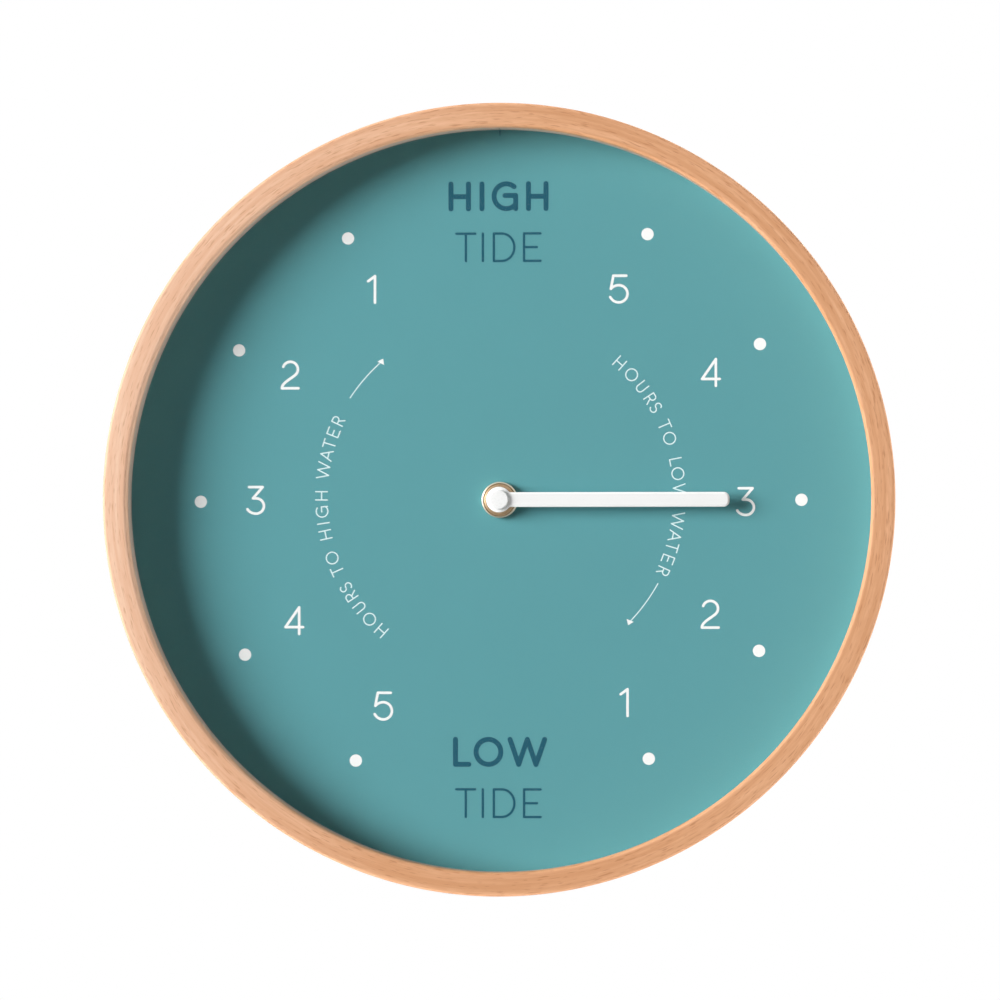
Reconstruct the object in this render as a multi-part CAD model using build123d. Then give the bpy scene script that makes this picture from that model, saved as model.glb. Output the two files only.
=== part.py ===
from build123d import *
import math
import os

# Tide clock for a wall: a round wooden rim, a glass, a printed dial and one hand.
# Millimetres. The hand's axis is the Y axis, the front faces -Y and +Z is up.

# Wooden rim
rim_radius = 150.0
rim_face = 9.0
rim_depth = 45.0
rim_wall = 5.8
rim_edge_radius = 2.0
rim_lip_edge_radius = 1.4
rim_back_edge_radius = 0.8
lip_depth = 6.0

# Glass, spacer, dial and backing board, stacked behind the rim's lip
stack_clearance = 0.2
glass_thickness = 2.0
spacer_depth = 10.0
spacer_setback = 0.4
dial_thickness = 1.0
board_thickness = 3.0

# Brackets that hold the stack in the rim
bracket_count = 6
bracket_width = 12.0
bracket_thickness = 1.0
bracket_foot = 9.0
bracket_upright = 11.0
bracket_seat_gap = 0.02
screw_shank_radius = 1.25
screw_head_radius = 2.5
screw_head_height = 1.5
screw_bite = 4.5
drive_width = 0.7
drive_depth = 0.6
drive_length = 2.6

# Hanging block, and the keyhole plate on it
block_width = 70.0
block_height = 30.0
block_wall_gap = 0.02
hanger_head_height = 1.2
hanger_head_clearance = 0.3
hanger_thickness = 1.5
hanger_width = 60.0
hanger_height = 24.0
hanger_corner_radius = 4.0
hanger_edge_margin = 3.0
keyhole_radius = 4.5
keyhole_slot_width = 5.4
keyhole_rise = 9.0
pocket_depth = 9.0
pocket_margin = 2.0
hanger_screw_spacing = 44.0
hanger_screw_bite = 10.0

# Movement case
case_wall = 1.4
case_corner_radius = 3.0
case_plate = 1.8
cover_thickness = 1.5
cover_clearance = 0.1
post_radius = 1.6
post_inset = 2.0
small_post_radius = 1.2

# Fixing of the movement to the dial
bush_radius = 4.0
bush_bore_radius = 2.6
bush_flange_radius = 5.5
bush_flange_thickness = 0.8
bush_hole_clearance = 0.2
bush_stand = 0.6
rubber_radius = 11.0
rubber_thickness = 1.0
washer_radius = 6.3
washer_thickness = 0.5
nut_radius = 6.85
nut_thickness = 2.4
nut_chamfer = 0.45

# Hand
tube_radius = 2.5
hand_length = 87.5
hand_width = 5.6
hand_thickness = 1.0
hand_bevel = 0.45
hand_tip_radius = 2.2
hand_root_radius = 1.0
hand_gap = 1.0
hub_radius = 4.85
hub_boss_depth = 1.2
cap_radius = 3.7
cap_height = 1.3
cap_edge_radius = 0.5
cap_stem_radius = 1.1
cap_stem_length = 1.2

# Gears: the train's teeth, and the larger teeth of the motion work
train_module = 0.25
motion_module = 0.4
wheel_thickness = 1.0
pinion_overlap = 0.2
hour_teeth = 40
minute_pinion_teeth = 10
minute_teeth = 36
cannon_teeth = 12
centre_teeth = 64
third_pinion_teeth = 8
third_teeth = 60
second_pinion_teeth = 8
second_teeth = 60
intermediate_pinion_teeth = 10
intermediate_teeth = 40
rotor_pinion_teeth = 8
arbor_radius = 0.5
pivot_radius = 0.35
pivot_length = 0.9
running_clearance = 0.05
gear_gap = 0.4
end_shake = 0.3
cannon_radius = 1.7
cannon_bore_radius = 0.65
cannon_setback = 3.0
stud_radius = 0.8
minute_hub_wall = 0.35
minute_bearing = 180.0
knob_bearing = 165.0
third_bearing = 20.0
second_bearing = 80.0
intermediate_bearing = 150.0
rotor_bearing = 200.0

# Tooth forms, as shares of the module
wheel_tooth_shares = {"width": 1.5, "tip": 1.2, "root": 0.975, "nose": 1.9}
pinion_tooth_shares = {"width": 1.05, "tip": 0.525, "root": 1.65, "nose": 0.53}
# Rounding and relief of small edges, as a share of the height that they are on
edge_share = 0.5

# Setting knob
knob_radius = 6.0
knob_height = 4.0
knob_gap = 0.4
knob_arbor_radius = 1.0
knob_flutes = 24
knob_flute_radius = 0.45
knob_edge_radius = 0.4

# Stepping motor
magnet_radius = 2.5
magnet_length = 2.0
magnet_gap = 0.6
stator_thickness = 1.0
stator_web = 1.3
core_width = 3.0
core_thickness = 1.0
coil_half_height = 3.8
coil_wall_gap = 0.4
coil_stator_gap = 0.4
coil_wheel_gap = 2.0
bobbin_length = 14.5
bobbin_flange = 0.9
bobbin_tube_wall = 0.5
bobbin_bore_gap = 0.1
winding_inset = 0.5
core_ear_gap = 0.15
core_overhang = 0.2

# Circuit board, quartz and chip
board_plate_thickness = 1.0
board_wheel_gap = 1.9
board_plate_height = 26.0
board_plate_bottom = -5.0
board_plate_stand = 4.0
board_post_inset = 2.0
quartz_radius = 1.0
quartz_length = 6.0
chip_radius = 2.6
chip_height = 0.9

# Battery, size AA, and its contacts
battery_radius = 7.25
battery_length = 50.5
battery_nub_radius = 2.75
battery_nub_length = 1.0
battery_edge_radius = 0.6
battery_clearance = 0.3
bay_floor = 1.2
bay_side_clearance = 0.35
bay_back_margin = 0.5
bay_wheel_gap = 1.7
contact_thickness = 0.4
contact_width = 8.0
contact_height = 11.0
contact_gap = 0.1
contact_tail_width = 3.0
contact_leaf_height = 9.0
contact_leaf_width = 5.0
contact_leaf_depth = 1.8

# One overrun for every cut
overrun = 1.0

# Depths along Y, from the front of the rim to its back
y_front = -rim_depth / 2
y_back = rim_depth / 2
y_glass = y_front + lip_depth
y_spacer = y_glass + glass_thickness
y_dial = y_spacer + spacer_depth
y_board = y_dial + dial_thickness
y_rubber = y_board + board_thickness
y_case = y_rubber + rubber_thickness
y_chamber = y_case + case_plate
case_depth = bay_floor + battery_clearance + battery_radius * 2 + bay_back_margin
y_case_back = y_case + case_depth
y_cover = y_case_back - cover_thickness

# Radii of the rim and of what lies in it
rim_inner = rim_radius - rim_face
rebate_radius = rim_radius - rim_wall
stack_radius = rebate_radius - stack_clearance
bush_hole_radius = bush_radius + bush_hole_clearance

# Fixing in front of the dial, and the hand in front of that
y_nut_back = y_dial - washer_thickness
y_nut = y_nut_back - nut_thickness
y_bush = y_nut - bush_stand
y_boss = y_bush - hand_gap
y_hand_back = y_boss - hub_boss_depth
y_hand = y_hand_back - hand_thickness
y_tube = y_hand

# Layers of the gears, each behind the one before it, except the intermediate wheel
y_hour = y_chamber + end_shake
y_minute = y_hour + wheel_thickness + gear_gap
y_centre = y_minute + wheel_thickness + gear_gap
y_third = y_centre + wheel_thickness + gear_gap
y_second = y_third + wheel_thickness + gear_gap
y_intermediate = y_centre + pinion_overlap
y_magnet = y_intermediate + wheel_thickness + pinion_overlap * 2 + gear_gap
y_stator = y_magnet + (magnet_length - stator_thickness) / 2
y_core = y_stator - core_thickness
y_coil = y_core + core_thickness / 2
y_board_plate = y_chamber + board_plate_stand


def bearing_point(start, bearing, distance):
    """The point a distance away from another, at an angle from +X towards +Z."""
    angle = math.radians(bearing)
    return (start[0] + distance * math.cos(angle), start[1] + distance * math.sin(angle))


# Axes of the arbors, as (x, z)
motion_distance = motion_module * (minute_teeth + cannon_teeth) / 2
hour_module = motion_distance * 2 / (hour_teeth + minute_pinion_teeth)
hand_axis = (0.0, 0.0)
minute_axis = bearing_point(hand_axis, minute_bearing, motion_distance)
knob_axis = bearing_point(minute_axis, knob_bearing, motion_distance)
third_distance = train_module * (centre_teeth + third_pinion_teeth) / 2
third_axis = bearing_point(hand_axis, third_bearing, third_distance)
second_distance = train_module * (third_teeth + second_pinion_teeth) / 2
second_axis = bearing_point(third_axis, second_bearing, second_distance)
intermediate_distance = train_module * (second_teeth + intermediate_pinion_teeth) / 2
intermediate_axis = bearing_point(second_axis, intermediate_bearing, intermediate_distance)
rotor_distance = train_module * (intermediate_teeth + rotor_pinion_teeth) / 2
rotor_axis = bearing_point(intermediate_axis, rotor_bearing, rotor_distance)


def tip_radius(teeth, module):
    """The outer radius of a wheel."""
    return (teeth / 2 + wheel_tooth_shares["tip"]) * module


# Coil over the stator, clear of the intermediate wheel
stator_reach = magnet_radius + magnet_gap + stator_web
coil_z = rotor_axis[1] + stator_reach + coil_stator_gap + coil_half_height
coil_right = intermediate_axis[0] - tip_radius(intermediate_teeth, train_module) - coil_wheel_gap
coil_left = coil_right - bobbin_length
core_left = coil_left - core_ear_gap - core_width
core_right = rotor_axis[0] + magnet_radius + magnet_gap + core_overhang

# Inside of the case: as wide as the battery needs, and as high as the wheels, coil and battery
chamber_half = (battery_length + contact_gap + contact_leaf_depth) / 2 + contact_thickness
chamber_top = coil_z + coil_half_height + coil_wall_gap
chamber_bottom = -tip_radius(centre_teeth, train_module) - bay_wheel_gap
bay_top = chamber_bottom - case_wall
bay_height = (battery_radius + bay_side_clearance) * 2
bay_bottom = bay_top - bay_height
battery_z = bay_top - bay_height / 2
battery_y = y_case + bay_floor + battery_clearance + battery_radius
battery_right = chamber_half - contact_thickness - contact_gap
battery_left = battery_right - battery_length
case_width = (chamber_half + case_wall) * 2
case_top = chamber_top + case_wall
case_bottom = bay_bottom - case_wall

# Circuit board, between the third wheel and the plus contact's tail
board_plate_right = chamber_half - contact_thickness
board_plate_left = third_axis[0] + tip_radius(third_teeth, train_module) + board_wheel_gap
board_plate_width = board_plate_right - board_plate_left
board_plate_x = board_plate_right - board_plate_width / 2
board_plate_z = board_plate_bottom + board_plate_height / 2


def facing(back, at=(0.0, 0.0)):
    """A plane that faces the front, at a depth, with its origin at (x, z)."""
    return Plane(origin=(at[0], back, at[1]), x_dir=(1, 0, 0), z_dir=(0, -1, 0))


def slab(sketch, front, back, at=(0.0, 0.0)):
    """A sketch in the dial's plane, carried from its back depth to its front depth."""
    return extrude(facing(back, at) * sketch, amount=back - front)


def disc(radius, front, back, at=(0.0, 0.0)):
    """A round slab about an axis along Y."""
    return slab(Circle(radius), front, back, at)


def ring(outer, inner, front, back, at=(0.0, 0.0)):
    """A round slab with a bore."""
    return slab(Circle(outer) - Circle(inner), front, back, at)


def box_between(x, y, z):
    """A box from its two limits along each axis."""
    size = [pair[1] - pair[0] for pair in (x, y, z)]
    middle = [(pair[0] + pair[1]) / 2 for pair in (x, y, z)]
    return Pos(*middle) * Box(*size)


def turned(shape, angle):
    """A shape turned about the hand's axis, from +X towards +Z."""
    return Rotation(0, -angle, 0) * shape


def polar(radius, angle):
    """A point at a radius and an angle in radians."""
    return (radius * math.cos(angle), radius * math.sin(angle))


def tooth_edges(teeth, module, shares, middle):
    """One tooth: a radial flank, two nose arcs that meet at the tip, a flank and the root arc."""
    pitch = teeth * module / 2
    half = shares["width"] * module / 2 / pitch
    root = pitch - shares["root"] * module
    gap_middle = middle + math.pi / teeth
    next_root = middle + 2 * math.pi / teeth - half
    left, right = polar(pitch, middle - half), polar(pitch, middle + half)
    tip = polar(pitch + shares["tip"] * module, middle)
    nose = -shares["nose"] * module
    return [
        Line(polar(root, middle - half), left),
        RadiusArc(left, tip, nose),
        RadiusArc(tip, right, nose),
        Line(right, polar(root, middle + half)),
        ThreePointArc(polar(root, middle + half), polar(root, gap_middle), polar(root, next_root)),
    ]


def gear_face(teeth, module, shares, phase):
    """The outline of a gear with a tooth at the phase angle, in degrees."""
    edges = []
    for index in range(teeth):
        edges += tooth_edges(teeth, module, shares, math.radians(phase) + index * 2 * math.pi / teeth)
    return make_face(edges)


def gear(teeth, module, shares, phase, front, back, at):
    """A toothed slab about an axis along Y."""
    return slab(gear_face(teeth, module, shares, phase), front, back, at)


def wheel(teeth, module, phase, front, at):
    """A wheel of the usual thickness, with a tooth at the phase angle."""
    return gear(teeth, module, wheel_tooth_shares, phase, front, front + wheel_thickness, at)


def pinion(teeth, module, bearing, wheel_phase, wheel_teeth, front, at):
    """A pinion that meshes with a wheel, seen from that wheel at a bearing, and overhangs it."""
    phase = bearing + 180 + 180 / teeth + (bearing - wheel_phase) * wheel_teeth / teeth
    back = front + wheel_thickness + pinion_overlap
    return gear(teeth, module, pinion_tooth_shares, phase, front - pinion_overlap, back, at)


def arbor(at, front=y_chamber, back=y_cover):
    """A thin axle with a shoulder near each plate and a pivot that runs in the plate."""
    body = disc(arbor_radius, front + end_shake, back - end_shake, at)
    return body + disc(pivot_radius, front - pivot_length, back + pivot_length, at)


def pivot_hole(at, face, into):
    """A blind bearing hole for a pivot, from a plate's face into the plate."""
    depth = pivot_length + running_clearance
    front, back = sorted((face - into * overrun, face + into * depth))
    return disc(pivot_radius + running_clearance, front, back, at)


# Brackets against the rim's inner wall
bracket_angles = [index * 360 / bracket_count for index in range(bracket_count)]
bracket_face = math.sqrt(rebate_radius ** 2 - (bracket_width / 2) ** 2) - bracket_seat_gap
bracket_screw_y = y_rubber + (bracket_thickness + bracket_upright) / 2


def wood_rim():
    profile = make_face(Polyline(
        (rim_inner, y_front), (rim_radius, y_front), (rim_radius, y_back),
        (rebate_radius, y_back), (rebate_radius, y_glass), (rim_inner, y_glass), close=True))
    front_corners = profile.vertices().group_by(Axis.Y)[0].sort_by(Axis.X)
    profile = fillet(front_corners[-1], rim_edge_radius)
    front_corners = profile.vertices().group_by(Axis.Y)[0].sort_by(Axis.X)
    profile = fillet(front_corners[0], rim_lip_edge_radius)
    outer_back = profile.vertices().group_by(Axis.Y)[-1].sort_by(Axis.X)[-1]
    profile = fillet(outer_back, rim_back_edge_radius)
    rim = revolve(profile, Axis.Y)
    for angle in bracket_angles:
        rim -= turned(bracket_screw_shank(), angle)
    return rim


def retaining_bracket():
    """An angle of sheet metal: a foot on the board, an upright against the rim."""
    across = (-bracket_width / 2, bracket_width / 2)
    inner_face = bracket_face - bracket_thickness
    foot = box_between((bracket_face - bracket_foot, bracket_face),
                       (y_rubber, y_rubber + bracket_thickness), across)
    upright = box_between((inner_face, bracket_face),
                          (y_rubber, y_rubber + bracket_upright), across)
    return foot + upright - bracket_screw_shank()


def radial_cylinder(radius, start, end, y):
    """A cylinder along +X at a depth, from one radius of the clock to another."""
    plane = Plane(origin=(start, y, 0), x_dir=(0, 1, 0), z_dir=(1, 0, 0))
    return extrude(plane * Circle(radius), amount=end - start)


def bracket_screw_shank():
    """The hole and the shank of a bracket's screw."""
    head_face = bracket_face - bracket_thickness
    return radial_cylinder(screw_shank_radius, head_face, head_face + bracket_thickness + screw_bite,
                           bracket_screw_y)


def bracket_screw():
    """A pan-head wood screw with a cross slot, driven out through the bracket into the rim."""
    seat = bracket_face - bracket_thickness
    top = seat - screw_head_height
    head = radial_cylinder(screw_head_radius, top, seat, bracket_screw_y)
    head = fillet(head.edges().group_by(Axis.X)[0], screw_head_height * edge_share)
    slot_x = (top - overrun, top + drive_depth)
    y_wide = (bracket_screw_y - drive_length / 2, bracket_screw_y + drive_length / 2)
    y_thin = (bracket_screw_y - drive_width / 2, bracket_screw_y + drive_width / 2)
    z_wide = (-drive_length / 2, drive_length / 2)
    z_thin = (-drive_width / 2, drive_width / 2)
    cross = box_between(slot_x, y_wide, z_thin) + box_between(slot_x, y_thin, z_wide)
    return head + bracket_screw_shank() - cross


def retaining_brackets():
    return Compound(children=[turned(retaining_bracket(), angle) for angle in bracket_angles])


def bracket_screws():
    return Compound(children=[turned(bracket_screw(), angle) for angle in bracket_angles])


def glass_lens():
    return disc(stack_radius, y_glass, y_spacer)


def spacer_ring():
    return ring(stack_radius, rim_inner + spacer_setback, y_spacer, y_dial)


def dial_plate():
    return ring(stack_radius, bush_hole_radius, y_dial, y_board)


def backing_board():
    return ring(stack_radius, bush_hole_radius, y_board, y_rubber)


# Hanging block and plate, at the top of the rim's hollow
y_hanger = y_back - hanger_head_clearance - hanger_head_height - hanger_thickness
block_radius = rebate_radius - block_wall_gap
block_bottom = rebate_radius - block_height
hanger_z = block_bottom + hanger_edge_margin + hanger_height / 2
keyhole_z = hanger_z - keyhole_rise / 2
slot_top_z = keyhole_z + keyhole_rise


def keyhole(entry_radius, slot_width, front, back):
    """A round entry with a slot that rises from it and ends round."""
    middle = (keyhole_z + slot_top_z) / 2
    entry = disc(entry_radius, front, back, (0.0, keyhole_z))
    slot = slab(Rectangle(slot_width, keyhole_rise), front, back, (0.0, middle))
    return entry + slot + disc(slot_width / 2, front, back, (0.0, slot_top_z))


def hanger_screw_points():
    return [(side * hanger_screw_spacing / 2, hanger_z) for side in (-1, 1)]


def hanging_block():
    """A segment of wood that fits the rim's hollow, with a pocket behind the keyhole."""
    blank = disc(block_radius, y_rubber, y_hanger)
    keep = box_between((-block_width / 2, block_width / 2), (y_rubber - overrun, y_hanger + overrun),
                       (block_bottom, block_radius + overrun))
    pocket = keyhole(keyhole_radius + pocket_margin, keyhole_radius * 2 + pocket_margin * 2,
                     y_hanger - pocket_depth, y_hanger + overrun)
    block = (blank & keep) - pocket
    for point in hanger_screw_points():
        block -= disc(screw_shank_radius, y_hanger - hanger_screw_bite, y_hanger, point)
    return block


def hanger_plate():
    outline = RectangleRounded(hanger_width, hanger_height, hanger_corner_radius)
    plate = slab(outline, y_hanger, y_hanger + hanger_thickness, (0.0, hanger_z))
    plate -= keyhole(keyhole_radius, keyhole_slot_width, y_hanger - overrun,
                     y_hanger + hanger_thickness + overrun)
    for point in hanger_screw_points():
        plate -= disc(screw_shank_radius, y_hanger, y_hanger + hanger_thickness, point)
    return plate


def hanger_screw(point):
    """A low pan-head screw, driven forwards through the plate into the block."""
    seat = y_hanger + hanger_thickness
    relief = hanger_head_height * edge_share
    shank = disc(screw_shank_radius, y_hanger - hanger_screw_bite, seat, point)
    head = disc(screw_head_radius, seat, seat + hanger_head_height, point)
    head = fillet(head.edges().group_by(Axis.Y)[-1], relief)
    cross = Rectangle(drive_length, drive_width) + Rectangle(drive_width, drive_length)
    slot = slab(cross, seat + relief, seat + hanger_head_height + overrun, point)
    return head + shank - slot


def hanger_screws():
    return Compound(children=[hanger_screw(point) for point in hanger_screw_points()])


def case_posts():
    """Corner posts of the case, which carry the rear cover, as (x, z)."""
    reach = chamber_half - post_inset
    levels = (chamber_top - post_inset, chamber_bottom + post_inset)
    return [(side * reach, z) for side in (-1, 1) for z in levels]


def board_posts():
    """Posts that carry the circuit board."""
    half = board_plate_height / 2 - board_post_inset
    return [(board_plate_x, board_plate_z - half), (board_plate_x, board_plate_z + half)]


def core_posts():
    """Posts under both ends of the coil's core."""
    return [(core_left + core_width / 2, coil_z), (core_right - core_width / 2, coil_z)]


tail_y = (y_board_plate + board_plate_thickness / 2 - contact_tail_width / 2,
          y_board_plate + board_plate_thickness / 2 + contact_tail_width / 2)


def tail_slot(side):
    """A slot in the divider, for the tail of a battery contact."""
    inner, outer = side * (chamber_half - contact_thickness - contact_gap), side * chamber_half
    y = (tail_y[0] - contact_gap, tail_y[1] + contact_gap)
    return box_between(sorted((inner, outer)), y, (bay_top - overrun, chamber_bottom + overrun))


def movement_front_housing():
    """A square tray: a chamber for the gears over a bay for the battery, which opens to the back."""
    outline = RectangleRounded(case_width, case_top - case_bottom, case_corner_radius)
    across = (-chamber_half, chamber_half)
    shell = slab(outline, y_case, y_case_back, (0.0, (case_top + case_bottom) / 2))
    chamber = box_between(across, (y_chamber, y_case_back + overrun), (chamber_bottom, chamber_top))
    bay = box_between(across, (y_case + bay_floor, y_case_back + overrun), (bay_bottom, bay_top))
    tray = shell - chamber - bay
    tray = chamfer(tray.faces().sort_by(Axis.Y)[0].edges(), case_wall * edge_share)
    for point in case_posts():
        tray += disc(post_radius, y_chamber, y_cover, point)
    for point in board_posts():
        tray += disc(small_post_radius, y_chamber, y_board_plate, point)
    for point in core_posts():
        tray += disc(small_post_radius, y_chamber, y_core, point)
    stud_end = y_minute + wheel_thickness + gear_gap / 2
    tray += disc(stud_radius, y_chamber, stud_end, minute_axis)
    tray -= disc(bush_radius, y_case - overrun, y_chamber + overrun)
    tray -= disc(bush_flange_radius, y_chamber - bush_flange_thickness, y_chamber + overrun)
    for point in (third_axis, second_axis, intermediate_axis, rotor_axis, knob_axis):
        tray -= pivot_hole(point, y_chamber, -1)
    return tray - tail_slot(-1) - tail_slot(1)


def movement_rear_cover():
    """The plate that closes the gear chamber and holds the back pivots."""
    half = chamber_half - cover_clearance
    cover = box_between((-half, half), (y_cover, y_case_back),
                        (chamber_bottom + cover_clearance, chamber_top - cover_clearance))
    cover = chamfer(cover.faces().sort_by(Axis.Y)[-1].edges(), cover_thickness * edge_share / 2)
    for point in (hand_axis, third_axis, second_axis, intermediate_axis, rotor_axis):
        cover -= pivot_hole(point, y_cover, 1)
    return cover - disc(knob_arbor_radius + running_clearance, y_cover - overrun,
                        y_case_back + overrun, knob_axis)


def mounting_bush():
    """A threaded brass tube, shown without its thread, with a flange inside the case."""
    tube = disc(bush_radius, y_bush, y_chamber)
    flange = disc(bush_flange_radius, y_chamber - bush_flange_thickness, y_chamber)
    return tube + flange - disc(bush_bore_radius, y_bush - overrun, y_chamber + overrun)


def rubber_washer():
    return ring(rubber_radius, bush_radius, y_rubber, y_case)


def brass_washer():
    return ring(washer_radius, bush_radius, y_nut_back, y_dial)


def brass_nut():
    """A round nut with a bevelled edge, tightened by hand."""
    nut = disc(nut_radius, y_nut, y_nut_back)
    nut = chamfer(nut.edges().group_by(Axis.Y)[0], nut_chamfer)
    return nut - disc(bush_radius, y_nut - overrun, y_nut_back + overrun)


def hour_wheel():
    """The wheel that carries the hand on a tube through the bush."""
    toothed = wheel(hour_teeth, hour_module, minute_bearing, y_hour, hand_axis)
    tube = disc(tube_radius, y_tube, y_hour + wheel_thickness)
    bore = disc(cannon_radius + running_clearance, y_tube - overrun,
                y_hour + wheel_thickness + overrun)
    return toothed + tube - bore


def tide_hand():
    """A straight flat hand with bevelled edges, from a round hub with a boss behind it."""
    bar_length = hand_length - hand_tip_radius
    tip_middle = hand_length - hand_width / 2
    outline = Circle(hub_radius) + Pos(bar_length / 2, 0) * Rectangle(bar_length, hand_width)
    outline += Pos(tip_middle, 0) * RectangleRounded(hand_width, hand_width, hand_tip_radius)
    roots = [corner for corner in outline.vertices() if 0 < corner.X < hub_radius]
    outline = fillet(roots, hand_root_radius)
    blade = slab(outline, y_hand, y_hand_back)
    blade = chamfer(blade.edges().group_by(Axis.Y)[0], hand_bevel)
    boss = disc(hub_radius, y_hand + hand_bevel, y_boss)
    return blade + boss - disc(tube_radius, y_hand - overrun, y_boss + overrun)


def hand_cap():
    """A round cap over the end of the tube, with a stem in the tube's bore."""
    cap = disc(cap_radius, y_hand - cap_height, y_hand)
    cap = fillet(cap.edges().group_by(Axis.Y)[0], cap_edge_radius)
    return cap + disc(cap_stem_radius, y_hand, y_hand + cap_stem_length)


def cannon_pinion():
    """The pinion that drives the minute wheel, on a tube inside the hour wheel's tube."""
    toothed = pinion(cannon_teeth, motion_module, minute_bearing + 180, minute_bearing + 180,
                     minute_teeth, y_minute, hand_axis)
    tube = disc(cannon_radius, y_tube + cannon_setback, y_minute + wheel_thickness)
    bore = disc(cannon_bore_radius, y_tube, y_centre)
    return toothed + tube - bore


def centre_wheel():
    """The wheel behind the cannon pinion, on an arbor that fills the cannon's bore."""
    front = y_minute + wheel_thickness + pinion_overlap
    toothed = wheel(centre_teeth, train_module, third_bearing, y_centre, hand_axis)
    hub = disc(cannon_radius, front, y_centre + wheel_thickness)
    stem = disc(cannon_bore_radius, y_tube + cannon_setback, y_cover - end_shake)
    return toothed + hub + stem + disc(pivot_radius, y_centre, y_cover + pivot_length)


def minute_wheel():
    """The motion work's wheel and pinion in one piece, on the stud."""
    pinion_front = y_hour
    toothed = wheel(minute_teeth, motion_module, minute_bearing + 180, y_minute, minute_axis)
    leaf = pinion(minute_pinion_teeth, hour_module, minute_bearing, minute_bearing, hour_teeth,
                  pinion_front, minute_axis)
    bore_radius = stud_radius + running_clearance
    hub = disc(bore_radius + minute_hub_wall, pinion_front, y_minute + wheel_thickness, minute_axis)
    bore = disc(bore_radius, y_chamber, y_centre, minute_axis)
    return toothed + leaf + hub - bore


def train_wheel(teeth, wheel_front, next_bearing, pinion_teeth, pinion_front, last_bearing,
                last_phase, last_teeth, at):
    """A wheel and its pinion on one arbor between the plates."""
    toothed = wheel(teeth, train_module, next_bearing, wheel_front, at)
    leaf = pinion(pinion_teeth, train_module, last_bearing, last_phase, last_teeth, pinion_front, at)
    return arbor(at) + toothed + leaf


def third_wheel():
    return train_wheel(third_teeth, y_third, second_bearing, third_pinion_teeth, y_centre,
                       third_bearing, third_bearing, centre_teeth, third_axis)


def second_wheel():
    return train_wheel(second_teeth, y_second, intermediate_bearing, second_pinion_teeth, y_third,
                       second_bearing, second_bearing, third_teeth, second_axis)


def intermediate_wheel():
    return train_wheel(intermediate_teeth, y_intermediate, rotor_bearing, intermediate_pinion_teeth,
                       y_second, intermediate_bearing, intermediate_bearing, second_teeth,
                       intermediate_axis)


def rotor_pinion():
    leaf = pinion(rotor_pinion_teeth, train_module, rotor_bearing, rotor_bearing,
                  intermediate_teeth, y_intermediate, rotor_axis)
    return arbor(rotor_axis) + leaf


def rotor_magnet():
    return ring(magnet_radius, arbor_radius, y_magnet, y_magnet + magnet_length, rotor_axis)


def setting_knob():
    """A fluted knob behind the case, with an arbor and a pinion on the minute wheel."""
    front = y_case_back + knob_gap
    grip = disc(knob_radius, front, front + knob_height, knob_axis)
    grip = fillet(grip.edges().group_by(Axis.Y)[-1], knob_edge_radius)
    for index in range(knob_flutes):
        point = bearing_point(knob_axis, index * 360 / knob_flutes, knob_radius)
        grip -= disc(knob_flute_radius, front - overrun, front + knob_height + overrun, point)
    leaf = pinion(cannon_teeth, motion_module, knob_bearing, minute_bearing + 180, minute_teeth,
                  y_minute, knob_axis)
    axle = disc(knob_arbor_radius, y_chamber + end_shake, front, knob_axis)
    pivot = disc(pivot_radius, y_chamber - pivot_length, y_minute, knob_axis)
    return grip + leaf + axle + pivot


def stator():
    """A plate round the magnet, with an ear under each end of the coil's core."""
    back = y_stator + stator_thickness
    depth = (y_stator, back)
    plate = box_between((core_left, core_right), depth,
                        (rotor_axis[1] - stator_reach, rotor_axis[1] + stator_reach))
    top = coil_z + core_width / 2
    for x in ((core_left, core_left + core_width), (core_right - core_width, core_right)):
        plate += box_between(x, depth, (rotor_axis[1], top))
    return plate - disc(magnet_radius + magnet_gap, y_stator - overrun, back + overrun, rotor_axis)


def coil_core():
    return box_between((core_left, core_right), (y_core, y_stator),
                       (coil_z - core_width / 2, coil_z + core_width / 2))


def coil_cylinder(radius, left, right):
    """A cylinder along X about the coil's axis."""
    plane = Plane(origin=(left, y_coil, coil_z), x_dir=(0, 1, 0), z_dir=(1, 0, 0))
    return extrude(plane * Circle(radius), amount=right - left)


bobbin_tube_radius = math.hypot(core_width, core_thickness) / 2 + bobbin_bore_gap + bobbin_tube_wall


def coil_bobbin():
    """A tube with a flange at each end, on the core."""
    tube = coil_cylinder(bobbin_tube_radius, coil_left, coil_right)
    tube += coil_cylinder(coil_half_height, coil_left, coil_left + bobbin_flange)
    tube += coil_cylinder(coil_half_height, coil_right - bobbin_flange, coil_right)
    return tube - coil_core()


def coil_winding():
    """The outer shape of the fine wire between the flanges."""
    left, right = coil_left + bobbin_flange, coil_right - bobbin_flange
    winding = coil_cylinder(coil_half_height - winding_inset, left, right)
    return winding - coil_cylinder(bobbin_tube_radius, left, right)


def circuit_board():
    outline = Rectangle(board_plate_width, board_plate_height)
    return slab(outline, y_board_plate, y_board_plate + board_plate_thickness,
                (board_plate_x, board_plate_z))


def quartz_can():
    """The quartz crystal's can, lying on the board, cut flat where it is stuck down."""
    y = y_board_plate + board_plate_thickness + quartz_radius
    z = board_plate_z + board_plate_height / 2 - board_post_inset * 2 - quartz_length / 2
    return Pos(board_plate_x, y, z) * Cylinder(quartz_radius, quartz_length)


def clock_chip():
    """The chip under its round drop of black resin."""
    top = y_board_plate + board_plate_thickness + chip_height
    drop = disc(chip_radius, y_board_plate + board_plate_thickness, top, (board_plate_x, board_plate_z))
    return fillet(drop.edges().group_by(Axis.Y)[-1], chip_height * edge_share)


contact_y = (battery_y - contact_width / 2, battery_y + contact_width / 2)
contact_z = (battery_z - contact_height / 2, battery_z + contact_height / 2)


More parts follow.
